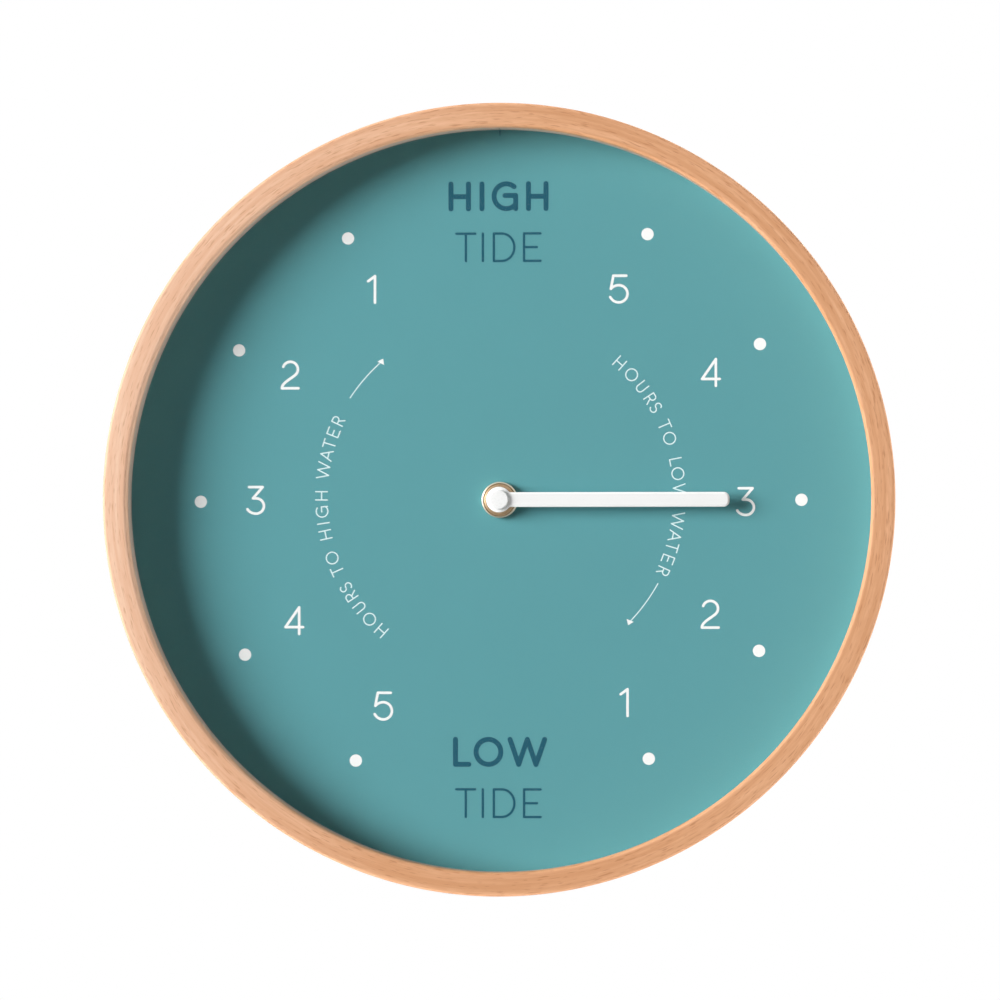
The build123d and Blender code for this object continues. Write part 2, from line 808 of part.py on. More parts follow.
def plus_contact():
    """A flat contact at the right end of the bay, with a tail up to the circuit board."""
    x = (chamber_half - contact_thickness, chamber_half)
    plate = box_between(x, contact_y, contact_z)
    return plate + box_between(x, tail_y, (contact_z[1] - contact_thickness, board_plate_z))


def minus_contact():
    """A contact with a bent leaf at the left end, and a tail along the divider to the board."""
    x = (-chamber_half, -chamber_half + contact_thickness)
    plate = box_between(x, contact_y, contact_z)
    run_z = (chamber_bottom, chamber_bottom + contact_thickness)
    rise_x = (board_plate_x - contact_thickness / 2, board_plate_x + contact_thickness / 2)
    riser = box_between(x, tail_y, (contact_z[1] - contact_thickness, run_z[1]))
    run = box_between((x[0], rise_x[1]), tail_y, run_z)
    rise = box_between(rise_x, tail_y, (run_z[0], board_plate_bottom))
    peak = battery_left - contact_gap
    half = contact_leaf_height / 2
    leaf = make_face(Polyline(
        (x[1], -half), (peak, 0), (x[1], half), (x[1], half - contact_thickness * 2),
        (peak - contact_thickness, 0), (x[1], -half + contact_thickness * 2), close=True))
    spring = slab(leaf, battery_y - contact_leaf_width / 2, battery_y + contact_leaf_width / 2,
                  (0.0, battery_z))
    return plate + riser + run + rise + spring


def battery_cylinder(radius, left, right):
    """A cylinder along X about the battery's axis."""
    plane = Plane(origin=(left, battery_y, battery_z), x_dir=(0, 1, 0), z_dir=(1, 0, 0))
    return extrude(plane * Circle(radius), amount=right - left)


def battery():
    """An AA cell that lies across the bay, its nub to the right."""
    shoulder = battery_right - battery_nub_length
    can = battery_cylinder(battery_radius, battery_left, shoulder)
    can = fillet(can.edges().filter_by(GeomType.CIRCLE), battery_edge_radius)
    return can + battery_cylinder(battery_nub_radius, shoulder, battery_right)


PARTS = {
    "wood_rim": wood_rim,
    "glass_lens": glass_lens,
    "spacer_ring": spacer_ring,
    "dial_plate": dial_plate,
    "backing_board": backing_board,
    "retaining_brackets": retaining_brackets,
    "bracket_screws": bracket_screws,
    "hanging_block": hanging_block,
    "hanger_plate": hanger_plate,
    "hanger_screws": hanger_screws,
    "movement_front_housing": movement_front_housing,
    "movement_rear_cover": movement_rear_cover,
    "mounting_bush": mounting_bush,
    "rubber_washer": rubber_washer,
    "brass_washer": brass_washer,
    "brass_nut": brass_nut,
    "hour_wheel": hour_wheel,
    "tide_hand": tide_hand,
    "hand_cap": hand_cap,
    "cannon_pinion": cannon_pinion,
    "centre_wheel": centre_wheel,
    "minute_wheel": minute_wheel,
    "third_wheel": third_wheel,
    "second_wheel": second_wheel,
    "intermediate_wheel": intermediate_wheel,
    "rotor_pinion": rotor_pinion,
    "rotor_magnet": rotor_magnet,
    "setting_knob": setting_knob,
    "stator": stator,
    "coil_core": coil_core,
    "coil_bobbin": coil_bobbin,
    "coil_winding": coil_winding,
    "circuit_board": circuit_board,
    "quartz_can": quartz_can,
    "clock_chip": clock_chip,
    "plus_contact": plus_contact,
    "minus_contact": minus_contact,
    "battery": battery,
}

os.makedirs("parts", exist_ok=True)
for name, make in PARTS.items():
    export_step(make(), f"parts/{name}.step")
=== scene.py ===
"""Dresses the model of a round wooden tide clock: its finishes, its printed scale and its stage.

Metres, with the hand's axis along Y, the front towards -Y and +Z up. Bearings run from +X to +Z.
"""

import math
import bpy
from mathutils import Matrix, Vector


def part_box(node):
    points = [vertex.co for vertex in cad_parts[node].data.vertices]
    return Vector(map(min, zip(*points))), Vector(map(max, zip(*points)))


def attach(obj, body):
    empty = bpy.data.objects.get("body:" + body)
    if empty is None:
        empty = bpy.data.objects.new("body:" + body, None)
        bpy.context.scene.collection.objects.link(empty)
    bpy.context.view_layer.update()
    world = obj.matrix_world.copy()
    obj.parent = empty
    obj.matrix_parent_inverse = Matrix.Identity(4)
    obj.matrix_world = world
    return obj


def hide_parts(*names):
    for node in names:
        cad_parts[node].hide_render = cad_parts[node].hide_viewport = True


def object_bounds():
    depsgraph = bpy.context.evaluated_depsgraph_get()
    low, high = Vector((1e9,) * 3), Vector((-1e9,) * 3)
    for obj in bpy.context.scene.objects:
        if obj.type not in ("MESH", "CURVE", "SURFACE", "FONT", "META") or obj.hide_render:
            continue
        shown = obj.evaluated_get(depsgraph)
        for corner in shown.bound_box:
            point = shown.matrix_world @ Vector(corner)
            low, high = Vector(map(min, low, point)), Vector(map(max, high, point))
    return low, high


bl_info = {
    "name": "Tide clock",
    "version": (1, 0, 0),
    "blender": (4, 5, 0),
    "location": "3D View > Sidebar > Tide clock",
    "description": "Dresses the model of a round wooden tide clock and sets its stage",
    "category": "Object",
}

import bpy
import numpy as np
from bpy.props import FloatProperty, FloatVectorProperty, PointerProperty
from mathutils import Vector

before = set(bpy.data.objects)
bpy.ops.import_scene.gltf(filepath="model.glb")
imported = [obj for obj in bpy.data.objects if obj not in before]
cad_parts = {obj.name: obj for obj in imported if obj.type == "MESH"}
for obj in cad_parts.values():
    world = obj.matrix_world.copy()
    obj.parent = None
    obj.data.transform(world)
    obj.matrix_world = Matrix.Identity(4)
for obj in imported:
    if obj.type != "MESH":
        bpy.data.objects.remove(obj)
CAD_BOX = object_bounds()

MM = 0.001
FULL_TURN = 2 * math.pi

# Steps of the rim, of the nut and the cap, and of a dot
ROUND_STEPS = 720
SMALL_STEPS = 192
DOT_STEPS = 64

# Steps of a rounded corner and of a small one
CORNER_STEPS = 10
BREAK_STEPS = 5

# Steps of the arcs, circles and curves in a sign
SIGN_STEPS = 28
CIRCLE_STEPS = 56
CURVE_STEPS = 20

# Steps of the hand's hub, of the fillet beside it, of the tip's corner, and of the cap's dome
HUB_STEPS = 60
FILLET_STEPS = 12
TIP_STEPS = 16
DOME_STEPS = 12

# Steps of the nut's groove, and the share of its half width that they reach
GROOVE_STEPS = 12
GROOVE_SHARE = 0.9

# Edges that turn by more than this look sharp
SHARP_ANGLE = math.radians(32)

# Angles from the path's sideways direction between which a stroke's round end is drawn
END_SWING = (84, 9)

# A path whose ends lie closer than this share of its half width is closed
SAME_PLACE = 0.01

# Points of a sign that lie closer than this share of its height are one point
REPEATED_POINT = 1e-6

# How far the cell's pale band and its steel button reach from its right end
CELL_BAND = 13.2 * MM
CELL_BUTTON = 1.15 * MM

# Shares of red, green and blue that brass keeps where it is browned
BROWNED_SHARES = (0.855, 0.792, 0.72)


def srgb(red, green, blue):
    """A screen's colour, from 0 to 255, as the linear colour that a shader takes."""
    shares = np.array((red, green, blue)) / 255
    linear = np.where(shares <= 0.04045, shares / 12.92, ((shares + 0.055) / 1.055) ** 2.4)
    return tuple(float(value) for value in linear)


def size(description, millimetres):
    """A length that a user may change, with its default in millimetres."""
    return FloatProperty(description=description, default=millimetres * MM, subtype="DISTANCE",
                         unit="LENGTH", precision=5)


def turn(description, degrees):
    """An angle that a user may change, with its default in degrees."""
    return FloatProperty(description=description, default=math.radians(degrees), subtype="ANGLE",
                         unit="ROTATION")


def level(description, default):
    """A brightness or share that a user may change."""
    return FloatProperty(description=description, default=default, min=0.0, precision=3)


def colour(description, red, green, blue):
    """A colour that a user may change, with its default as it looks on a screen."""
    return FloatVectorProperty(description=description, subtype="COLOR", size=3, min=0.0, max=1.0,
                               default=srgb(red, green, blue))


def named(group):
    """Names each setting of a group after its own identifier, such as Face width."""
    for identifier, setting in group.__annotations__.items():
        setting.keywords["name"] = identifier.replace("_", " ").capitalize()
    return group


@named
class RimSettings(bpy.types.PropertyGroup):
    """Sizes and colours of the wooden rim and of the pale strip inside it."""

    face_width: size("Width of the rim's front face", 9.0)
    front_rounding: size("Radius of the outer front edge", 1.2)
    lip_rounding: size("Radius of the inner front edge", 1.4)
    back_rounding: size("Radius of the outer back edge", 0.8)
    edge_break: size("Small rounding of the other edges", 0.3)
    rebate_clearance: size("Gap round the glass and the dial", 0.2)
    strip_setback: size("How far the pale strip stands back from the lip", 0.4)
    strip_joint: size("Gap where the ends of the pale strip meet at the top", 0.35)
    streak_length: size("Length of the grain's broad streaks", 60.0)
    streak_width: size("Width of the grain's broad streaks", 1.6)
    fibre_length: size("Length of the fine fibres", 7.0)
    fibre_width: size("Width of the fine fibres", 0.8)
    fleck_length: size("Length of the short dark flecks", 5.0)
    fleck_width: size("Width of the short dark flecks", 0.5)
    # Painted sheen of the key lamp: the wood is drawn paler towards this bearing and down to this
    # depth
    sheen_bearing: turn("Where round the rim the wood is palest", 169.0)
    sheen_depth: size("How far behind the rim's front the palest wood reaches", 9.0)
    light_wood: colour("The lighter tone of the beech", 226, 172, 132)
    dark_wood: colour("The darker tone of the beech", 208, 150, 107)
    # Lighter and darker tones of the painted sheen on the lit side
    sheen_light: colour("The lighter tone on the palest side", 249, 214, 188)
    sheen_dark: colour("The darker tone on the palest side", 240, 194, 164)
    fleck_wood: colour("The tone of the flecks", 176, 116, 74)
    strip_card: colour("The pale strip between glass and dial", 206, 184, 168)


@named
class ScaleSettings(bpy.types.PropertyGroup):
    """Sizes and colours of the dial and its printed scale."""

    paint: colour("Matt blue-green of the dial", 96, 160, 166)
    white_ink: colour("Numbers, dots and arrow heads", 250, 252, 251)
    word_ink: colour("Dark blue of the words", 40, 92, 110)
    caption_ink: colour("Pale ink of the thin captions and arrows", 222, 243, 244)
    ink_thickness: size("Height of the print over the dial", 0.03)
    ink_step: size("Extra height of each next stroke of a sign", 0.006)
    scale_rise: size("Height of the scale's centre over the hand's axis", 1.3)
    dot_circle: size("Radius of the circle of hour dots", 114.7)
    dot_diameter: size("Diameter of an hour dot", 4.7)
    number_circle: size("Radius of the circle of numbers", 92.4)
    number_height: size("Height of a number", 11.15)
    number_stroke: size("Stroke of a number", 1.0)
    number_rise: size("How far the numbers stand above their circle", 0.13)
    word_height: size("Height of the words", 11.4)
    word_rise: size("How far all words stand above their lines", 0.28)
    word_shift: size("How far the upper words stand left of the axis", 0.6)
    bold_stroke: size("Stroke of the two bold words", 1.9)
    light_stroke: size("Stroke of the two light words", 0.92)
    outer_word: size("Distance of the outer words from the axis", 115.7)
    inner_word: size("Distance of the inner words from the axis", 96.2)
    caption_circle: size("Radius of the foot of the captions", 65.85)
    caption_height: size("Height of the captions' letters", 4.96)
    caption_stroke: size("Stroke of the captions' letters", 0.48)
    arrow_circle: size("Radius of the arc arrows", 68.7)
    arrow_stroke: size("Stroke of the arc arrows", 0.42)
    arrow_head_length: size("Length of an arrow's head", 2.0)
    arrow_head_width: size("Width of an arrow's head", 2.9)
    arrow_head_turn: turn("How far a head is turned anticlockwise out of its arc", 21.0)
    mark_length: size("Length of the small mark at the top edge", 1.7)
    mark_width: size("Width of the small mark at the top edge", 0.35)


@named
class HandSettings(bpy.types.PropertyGroup):
    """Sizes and colours of the hand, its cap and the nut under it."""

    bar_width: size("Width of the hand", 5.6)
    bar_thickness: size("Thickness of the hand", 1.0)
    bevel: size("Width of the bevel along the hand's edges", 0.7)
    bevel_depth: size("How far the bevel falls back over its width", 0.22)
    tip_rounding: size("Radius of the tip's corners", 2.2)
    root_fillet: size("Radius where the bar runs into the hub", 1.0)
    tube_radius: size("Radius of the tube that carries the hand", 2.5)
    edge_rounding: size("Small rounding of the hand's edges", 0.08)
    cap_rounding: size("Radius of the cap's edge", 0.5)
    cap_dome: size("Rise of the cap's middle", 0.05)
    stem_radius: size("Radius of the cap's stem", 1.1)
    nut_bore: size("Radius of the nut's bore", 4.0)
    nut_chamfer: size("Width of the nut's outer chamfer", 0.5)
    nut_groove_width: size("Width of the turned groove in the nut's face", 0.5)
    nut_groove_depth: size("Depth of the turned groove in the nut's face", 0.3)
    enamel: colour("White of the hand and its cap", 244, 244, 243)
    # Painted highlight: the hand's bevels, sides and back are drawn a brighter white
    bevel_highlight: colour("Brighter white of the hand's bevel and sides", 255, 255, 254)
    brass: colour("Tan brass of the nut and the washer", 180, 156, 126)
    # Painted highlight: a pale cream drawn on the nut's outer chamfer
    chamfer_highlight: colour("Polished edge of the nut", 216, 210, 192)


@named
class StageSettings(bpy.types.PropertyGroup):
    """Camera, lamps and floor."""

    camera_distance: size("From the dial's centre to the camera", 1900.0)
    camera_right: turn("How far the camera stands to the right of the axis", 3.6)
    camera_below: turn("How far the camera stands below the axis", 1.4)
    view_width: size("Width of the view at the dial", 381.15)
    key_level: level("Light that the key lamp gives the dial", 0.85)
    key_bearing: turn("Where the key lamp stands round the dial", 169.0)
    key_rise: turn("Height of the key lamp over the dial's plane", 31.5)
    key_spread: turn("How wide the key lamp looks from the dial", 31.0)
    back_level: level("Light that the back lamp gives the back", 0.62)
    back_bearing: turn("Where the back lamp stands round the dial", 60.0)
    back_rise: turn("Height of the back lamp behind the dial's plane", 50.0)
    back_spread: turn("How wide the back lamp looks", 40.0)
    ambient: level("Even light from all round", 0.09)
    ring_bright: level("Extra light in the clock's own plane, where it is strongest", 13.5)
    ring_dim: level("Extra light in the clock's own plane, opposite that place", 0.8)
    ring_bearing: turn("Where round the dial the extra light is strongest", -40.0)
    ring_reach: level("Sine of the angle at which the extra light ends", 0.2)
    floor_drop: size("Distance of the floor below the clock", 1500.0)
    floor_half_width: size("Half of the floor's width", 2000.0)
    floor_paint: colour("Pale floor", 150, 150, 150)
    floor_glow: level("How much whiter the floor looks to the camera", 0.8)


def grid_quads(rows, columns, wrap_rows=False, wrap_columns=False):
    """Quads of a grid of vertices, row by row. A wrapped direction runs on from last to first."""
    row = np.arange(rows if wrap_rows else rows - 1)[:, None]
    column = np.arange(columns if wrap_columns else columns - 1)[None, :]
    next_row = (row + 1) % rows
    next_column = (column + 1) % columns
    corners = (row * columns + column, row * columns + next_column,
               next_row * columns + next_column, next_row * columns + column)
    return np.stack([np.broadcast_to(corner, (row.size, column.size)) for corner in corners],
                    axis=-1).reshape(-1, 4)


def fan(pole, ring):
    """Triangles from one vertex to a closed ring of vertices."""
    return np.stack([np.full(ring.size, pole), ring, np.roll(ring, -1)], axis=-1)


class Shell:
    """A closed surface as arrays: vertices, quads and triangles."""

    def __init__(self, vertices, quads, triangles=()):
        self.vertices = np.asarray(vertices, float).reshape(-1, 3)
        self.quads = np.asarray(quads, int).reshape(-1, 4)
        self.triangles = np.asarray(triangles, int).reshape(-1, 3)
        if self.volume() < 0:
            self.quads = self.quads[:, ::-1]
            self.triangles = self.triangles[:, ::-1]

    def volume(self):
        """A sixth of the triple product of each triangle's corners, added up."""
        halves = [self.quads[:, [0, 1, 2]], self.quads[:, [0, 2, 3]], self.triangles]
        first, second, third = self.vertices[np.concatenate(halves)].transpose(1, 0, 2)
        return (first * np.cross(second, third)).sum() / 6


def joined(shells):
    """Several shells as lists of vertices and faces for one mesh."""
    starts = np.cumsum([0] + [len(shell.vertices) for shell in shells])
    vertices = np.concatenate([shell.vertices for shell in shells])
    faces = []
    for start, shell in zip(starts, shells):
        faces += (shell.quads + start).tolist() + (shell.triangles + start).tolist()
    return vertices, faces


def add_object(name, data):
    """A new object of some data, in the scene."""
    item = bpy.data.objects.new(name, data)
    bpy.context.scene.collection.objects.link(item)
    return item


def add_piece(name, shells, material, body, slot, *nodes):
    """Makes one mesh of the shells, gives it its finish, ties it to its body, and hides the
    model's own parts that it stands for.
    """
    vertices, faces = joined(shells)
    mesh = bpy.data.meshes.new(name)
    mesh.from_pydata(vertices.tolist(), [], faces)
    mesh.shade_smooth()
    mesh.set_sharp_from_angle(angle=SHARP_ANGLE)
    mesh.materials.append(material)
    piece = add_object(name, mesh)
    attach(piece, body)
    if nodes:
        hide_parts(*nodes)


def arc(centre, radii, start, end, steps=SIGN_STEPS):
    """Points of an elliptical arc: centre plus the two radii times the cosine and the sine of
    evenly spaced angles in degrees."""
    angles = np.radians(np.linspace(start, end, steps))
    return np.stack([centre[0] + radii[0] * np.cos(angles),
                     centre[1] + radii[1] * np.sin(angles)], axis=-1)


def corner_arc(centre, radius, start, end, steps=CORNER_STEPS):
    """Points of a round corner."""
    return arc(centre, (radius, radius), start, end, steps)


def tube(rings, poles=None):
    """Rings of points, each joined to the next. The ends are closed by triangles to two poles, or
    to the middles of the end rings where no poles are given."""
    rings = np.asarray(rings)
    count, around = rings.shape[:2]
    if poles is None:
        poles = rings[[0, -1]].mean(axis=1)
    total = count * around
    first = np.arange(around)
    last = first + total - around
    triangles = np.concatenate([fan(total, first[::-1]), fan(total + 1, last)])
    return Shell(np.concatenate([rings.reshape(-1, 3), poles]),
                 grid_quads(count, around, wrap_columns=True), triangles)


def revolved_ring(profile, steps, sweep=FULL_TURN, start=0.0):
    """A closed profile of (radius, depth) turned about the Y axis: x and z are radius times the
    cosine and sine of the angle, and y is the depth. A shorter sweep gets flat ends."""
    radius, depth = np.asarray(profile).T
    whole = sweep == FULL_TURN
    angles = start + np.linspace(0, sweep, steps, endpoint=not whole)
    rings = np.stack([np.outer(np.cos(angles), radius),
                      np.broadcast_to(depth, (steps, depth.size)),
                      np.outer(np.sin(angles), radius)], axis=-1)
    if not whole:
        return tube(rings)
    return Shell(rings, grid_quads(steps, depth.size, wrap_rows=True, wrap_columns=True))


def revolved_solid(profile, steps, centre=(0.0, 0.0)):
    """An open profile whose first and last points lie on the axis, turned about a line along Y
    through the centre. The points on the axis become single vertices that close the surface."""
    radius, depth = np.asarray(profile).T
    angles = np.linspace(0, FULL_TURN, steps, endpoint=False)
    rings = np.stack([centre[0] + np.outer(radius, np.cos(angles)),
                      np.broadcast_to(depth[:, None], (depth.size, steps)),
                      centre[1] + np.outer(radius, np.sin(angles))], axis=-1)
    return tube(rings[1:-1], rings[[0, -1], 0])


def ribbon(path, width, front, back):
    """A flat stroke: a rectangle carried along a path in the dial's plane. Past each end of the
    path the half width falls as the square root of (radius squared minus distance squared). A path
    that ends where it starts gives a closed loop instead."""
    path = np.asarray(path, float)
    radius = width / 2
    closed = np.linalg.norm(path[0] - path[-1]) < SAME_PLACE * radius
    if closed:
        path = path[:-1]
        tangent = np.roll(path, -1, axis=0) - np.roll(path, 1, axis=0)
    else:
        tangent = np.gradient(path, axis=0)
    tangent /= np.linalg.norm(tangent, axis=1)[:, None]
    half = np.full((len(path), 1), radius)
    if not closed:
        swing = np.radians(np.linspace(*END_SWING, CORNER_STEPS))[:, None]
        path = np.concatenate([path[0] - tangent[0] * radius * np.sin(swing), path,
                               path[-1] + tangent[-1] * radius * np.sin(swing[::-1])])
        half = np.concatenate([radius * np.cos(swing), half, radius * np.cos(swing[::-1])])
        tangent = np.pad(tangent, ((CORNER_STEPS, CORNER_STEPS), (0, 0)), mode="edge")
    across = np.stack([-tangent[:, 1], tangent[:, 0]], axis=-1) * half
    corners = ((path + across, front), (path - across, front),
               (path - across, back), (path + across, back))
    rows = np.stack([np.insert(side, 1, depth, axis=1) for side, depth in corners], axis=1)
    quads = grid_quads(len(path), 4, wrap_rows=closed, wrap_columns=True)
    if not closed:
        ends = np.array([[0, 1, 2, 3], [-1, -2, -3, -4]]) % (4 * len(path))
        quads = np.concatenate([quads, ends])
    return Shell(rows, quads)


def plate(outline, front, back):
    """A flat plate: a convex outline in the dial's plane, carried from one depth to another."""
    return tube([np.insert(outline, 1, depth, axis=1) for depth in (front, back)])


def curve(*points):
    """Points of a cubic curve: its four points weighted by the terms of ((1 - t) + t) cubed."""
    share = np.linspace(0, 1, CURVE_STEPS)[:, None]
    rest = 1 - share
    weights = (rest ** 3, 3 * rest ** 2 * share, 3 * rest * share ** 2, share ** 3)
    return sum(weight * np.array(point) for weight, point in zip(weights, points))


def run(*parts):
    """Several stretches as one path, without the points that repeat where they meet."""
    points = np.concatenate([np.asarray(part, float) for part in parts])
    steps = np.linalg.norm(np.diff(points, axis=0), axis=1)
    return points[np.concatenate([[True], steps > REPEATED_POINT])]


# Signs as strokes, in shares of the height between the middles of the top and bottom strokes
SIGNS = {
    "1": [[(-0.257, 0.81), (0, 1)], [(0, 1), (0, 0)]],
    "2": [run(arc((0.319, 0.7155), (0.2845, 0.2845), 160.5, -30),
              curve((0.565, 0.573), (0.468, 0.405), (0, 0.24), (0, 0))), [(0, 0), (0.627, 0)]],
    "3": [[(0.058, 1), (0.573, 1)], [(0.573, 1), (0.208, 0.575)],
          run([(0.208, 0.575), (0.326, 0.575)], arc((0.326, 0.2875), (0.296, 0.2875), 90, -90),
              curve((0.326, 0), (0.187, 0), (0.069, 0.058), (0, 0.167)))],
    "4": [[(0.516, 1), (0.516, 0)], [(0.516, 1), (0, 0.257)], [(0, 0.257), (0.662, 0.257)]],
    "5": [[(0.118, 1), (0.602, 1)], [(0.118, 1), (0.024, 0.51)],
          run(curve((0.024, 0.51), (0.09, 0.59), (0.2, 0.645), (0.3226, 0.645)),
              arc((0.3226, 0.3225), (0.3247, 0.3225), 90, -90),
              curve((0.3226, 0), (0.178, 0), (0.067, 0.08), (0, 0.198)))],
    "A": [[(0, 0), (0.42, 1)], [(0.42, 1), (0.84, 0)], [(0.14, 0.33), (0.7, 0.33)]],
    "D": [[(0, 0), (0, 1)], run([(0, 1), (0.291, 1)], arc((0.291, 0.5), (0.457, 0.5), 90, -90),
                                [(0.291, 0), (0, 0)])],
    "E": [[(0, 0), (0, 1)], [(0, 1), (0.6, 1)], [(0, 0.5), (0.469, 0.5)], [(0, 0), (0.6, 0)]],
    "G": [arc((0.4925, 0.5), (0.4925, 0.5), 50.5, 318), [(0.438, 0.529), (0.87, 0.529)],
          [(0.87, 0.529), (0.87, 0)]],
    "H": [[(0, 0), (0, 1)], [(0.704, 0), (0.704, 1)], [(0, 0.49), (0.704, 0.49)]],
    "I": [[(0, 0), (0, 1)]],
    "L": [[(0, 0), (0, 1)], [(0, 0), (0.537, 0)]],
    "O": [arc((0.497, 0.5), (0.497, 0.5), 90, 450, CIRCLE_STEPS)],
    "R": [[(0, 0), (0, 1)], run([(0, 1), (0.27, 1)], arc((0.27, 0.74), (0.26, 0.26), 90, -90),
                                [(0.27, 0.48), (0, 0.48)]), [(0.26, 0.48), (0.53, 0)]],
    "S": [run(arc((0.28, 0.755), (0.25, 0.245), 32, 270),
              arc((0.28, 0.255), (0.28, 0.255), 90, -148))],
    "T": [[(0, 1), (0.689, 1)], [(0.345, 1), (0.345, 0)]],
    "U": [run([(0, 1), (0, 0.31)], arc((0.305, 0.31), (0.305, 0.31), 180, 360),
              [(0.61, 0.31), (0.61, 1)])],
    "W": [[(0, 1), (0.347, 0)], [(0.347, 0), (0.694, 1)], [(0.694, 1), (1.04, 0)],
          [(1.04, 0), (1.387, 1)]],
}

# Space beside a letter, left and right, in shares of the letter's height
SIDE_SHARES = {
    "A": (0.02, 0.02), "D": (0.144, 0.1), "E": (0.144, 0.06), "G": (0.095, 0.119),
    "H": (0.144, 0.144), "I": (0.144, 0.144), "L": (0.144, -0.02), "O": (0.095, 0.095),
    "R": (0.144, 0.06), "S": (0.08, 0.08), "T": (0.029, 0.029), "U": (0.13, 0.13),
    "W": (0.047, 0.047)}
SPACE_SHARE = 0.36


def sign_reach(sign):
    """Where the leftmost and the rightmost point of a sign's strokes lie."""
    across = np.concatenate(SIGNS[sign])[:, 0]
    return across.min(), across.max()


def dial_front():
    """The depth of the dial's face."""
    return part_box("dial_plate")[0].y


def ink_depths(ink, layer=0):
    """The depths of the front and the back of the print. Each layer stands a step higher."""
    face = dial_front()
    return face - ink.ink_thickness - layer * ink.ink_step, face + ink.ink_thickness


def sign_shells(sign, middle, height, stroke_width, ink, turned=0.0):
    """The strokes of one sign, centred on a point and turned anticlockwise, each a little higher
    than the one before it. Its points are the origin plus the scale times their two shares along
    the sign's own axes."""
    axes = np.array(((math.cos(turned), math.sin(turned)), (-math.sin(turned), math.cos(turned))))
    scale = height - stroke_width
    origin = np.asarray(middle) - scale * ((sum(sign_reach(sign)) / 2, 0.5) @ axes)
    shells = []
    for layer, stroke in enumerate(SIGNS[sign]):
        path = origin + scale * (np.asarray(stroke) @ axes)
        shells.append(ribbon(path, stroke_width, *ink_depths(ink, layer)))
    return shells


def letter_places(text, height, stroke_width, track=1.0):
    """The middle of each letter of a line from the line's left edge, and the line's whole width.
    Letters lie apart by their side shares times the height and the track."""
    unit = height * track
    places = []
    pen = -SIDE_SHARES[text[0]][0] * unit
    for letter in text:
        if letter == " ":
            pen += SPACE_SHARE * unit
            continue
        low, high = sign_reach(letter)
        before, after = SIDE_SHARES[letter]
        width = (high - low) * (height - stroke_width) + stroke_width
        pen += before * unit
        places.append((letter, pen + width / 2))
        pen += width + after * unit
    return places, pen - SIDE_SHARES[text[-1]][1] * unit


def print_piece(name, shells, material):
    """Adds a piece of print, which rides with the dial."""
    add_piece(name, shells, material, "clock_case", "dial_paint")


def about(centre_rise, radius, bearing):
    """A point at a bearing in degrees and a radius, about a point straight above the axis."""
    angle = math.radians(bearing)
    return radius * math.cos(angle), centre_rise + radius * math.sin(angle)


class Nodes:
    """A tree of shader nodes. Short calls add its nodes and join their inputs."""

    def __init__(self, owner, coordinates):
        owner.use_nodes = True
        self.tree = owner.node_tree
        self.place = self.add("ShaderNodeTexCoord", {}, coordinates)

    def join(self, socket, value):
        """Puts a value in an input, or joins another node's output to it."""
        if isinstance(value, bpy.types.NodeSocket):
            self.tree.links.new(value, socket)
        elif socket.type == "RGBA":
            socket.default_value = (*value, 1.0)
        else:
            socket.default_value = value

    def add(self, kind, inputs, output=0, **settings):
        """Adds a node, sets it, joins its inputs, and gives one of its outputs."""
        node = self.tree.nodes.new(kind)
        for name, value in settings.items():
            setattr(node, name, value)
        for key, value in inputs.items():
            self.join(node.inputs[key], value)
        return node.outputs[output]

    def calc(self, operation, *values):
        """A sum of one kind or another."""
        return self.add("ShaderNodeMath", dict(enumerate(values)), operation=operation)

    def vector(self, operation, *values, output=0):
        """A sum with vectors. Its output 0 is a vector, and its output 1 a number."""
        return self.add("ShaderNodeVectorMath", dict(enumerate(values)), output,
                        operation=operation)

    def along(self, direction):
        """How far the place lies along a direction."""
        return self.vector("DOT_PRODUCT", self.place, direction, output=1)

    def parts(self):
        """The place's three coordinates."""
        return self.add("ShaderNodeSeparateXYZ", {0: self.place}).node.outputs

    def fit(self, value, low, high, to_low=0.0, to_high=1.0):
        """Maps a range of a value to another range, and holds it there."""
        return self.add("ShaderNodeMapRange", {0: value, 1: low, 2: high, 3: to_low, 4: to_high})

    def past(self, value, edge, blur):
        """0 up to an edge and 1 past it, with a soft step of a width between them."""
        return self.fit(value, edge, edge + blur)


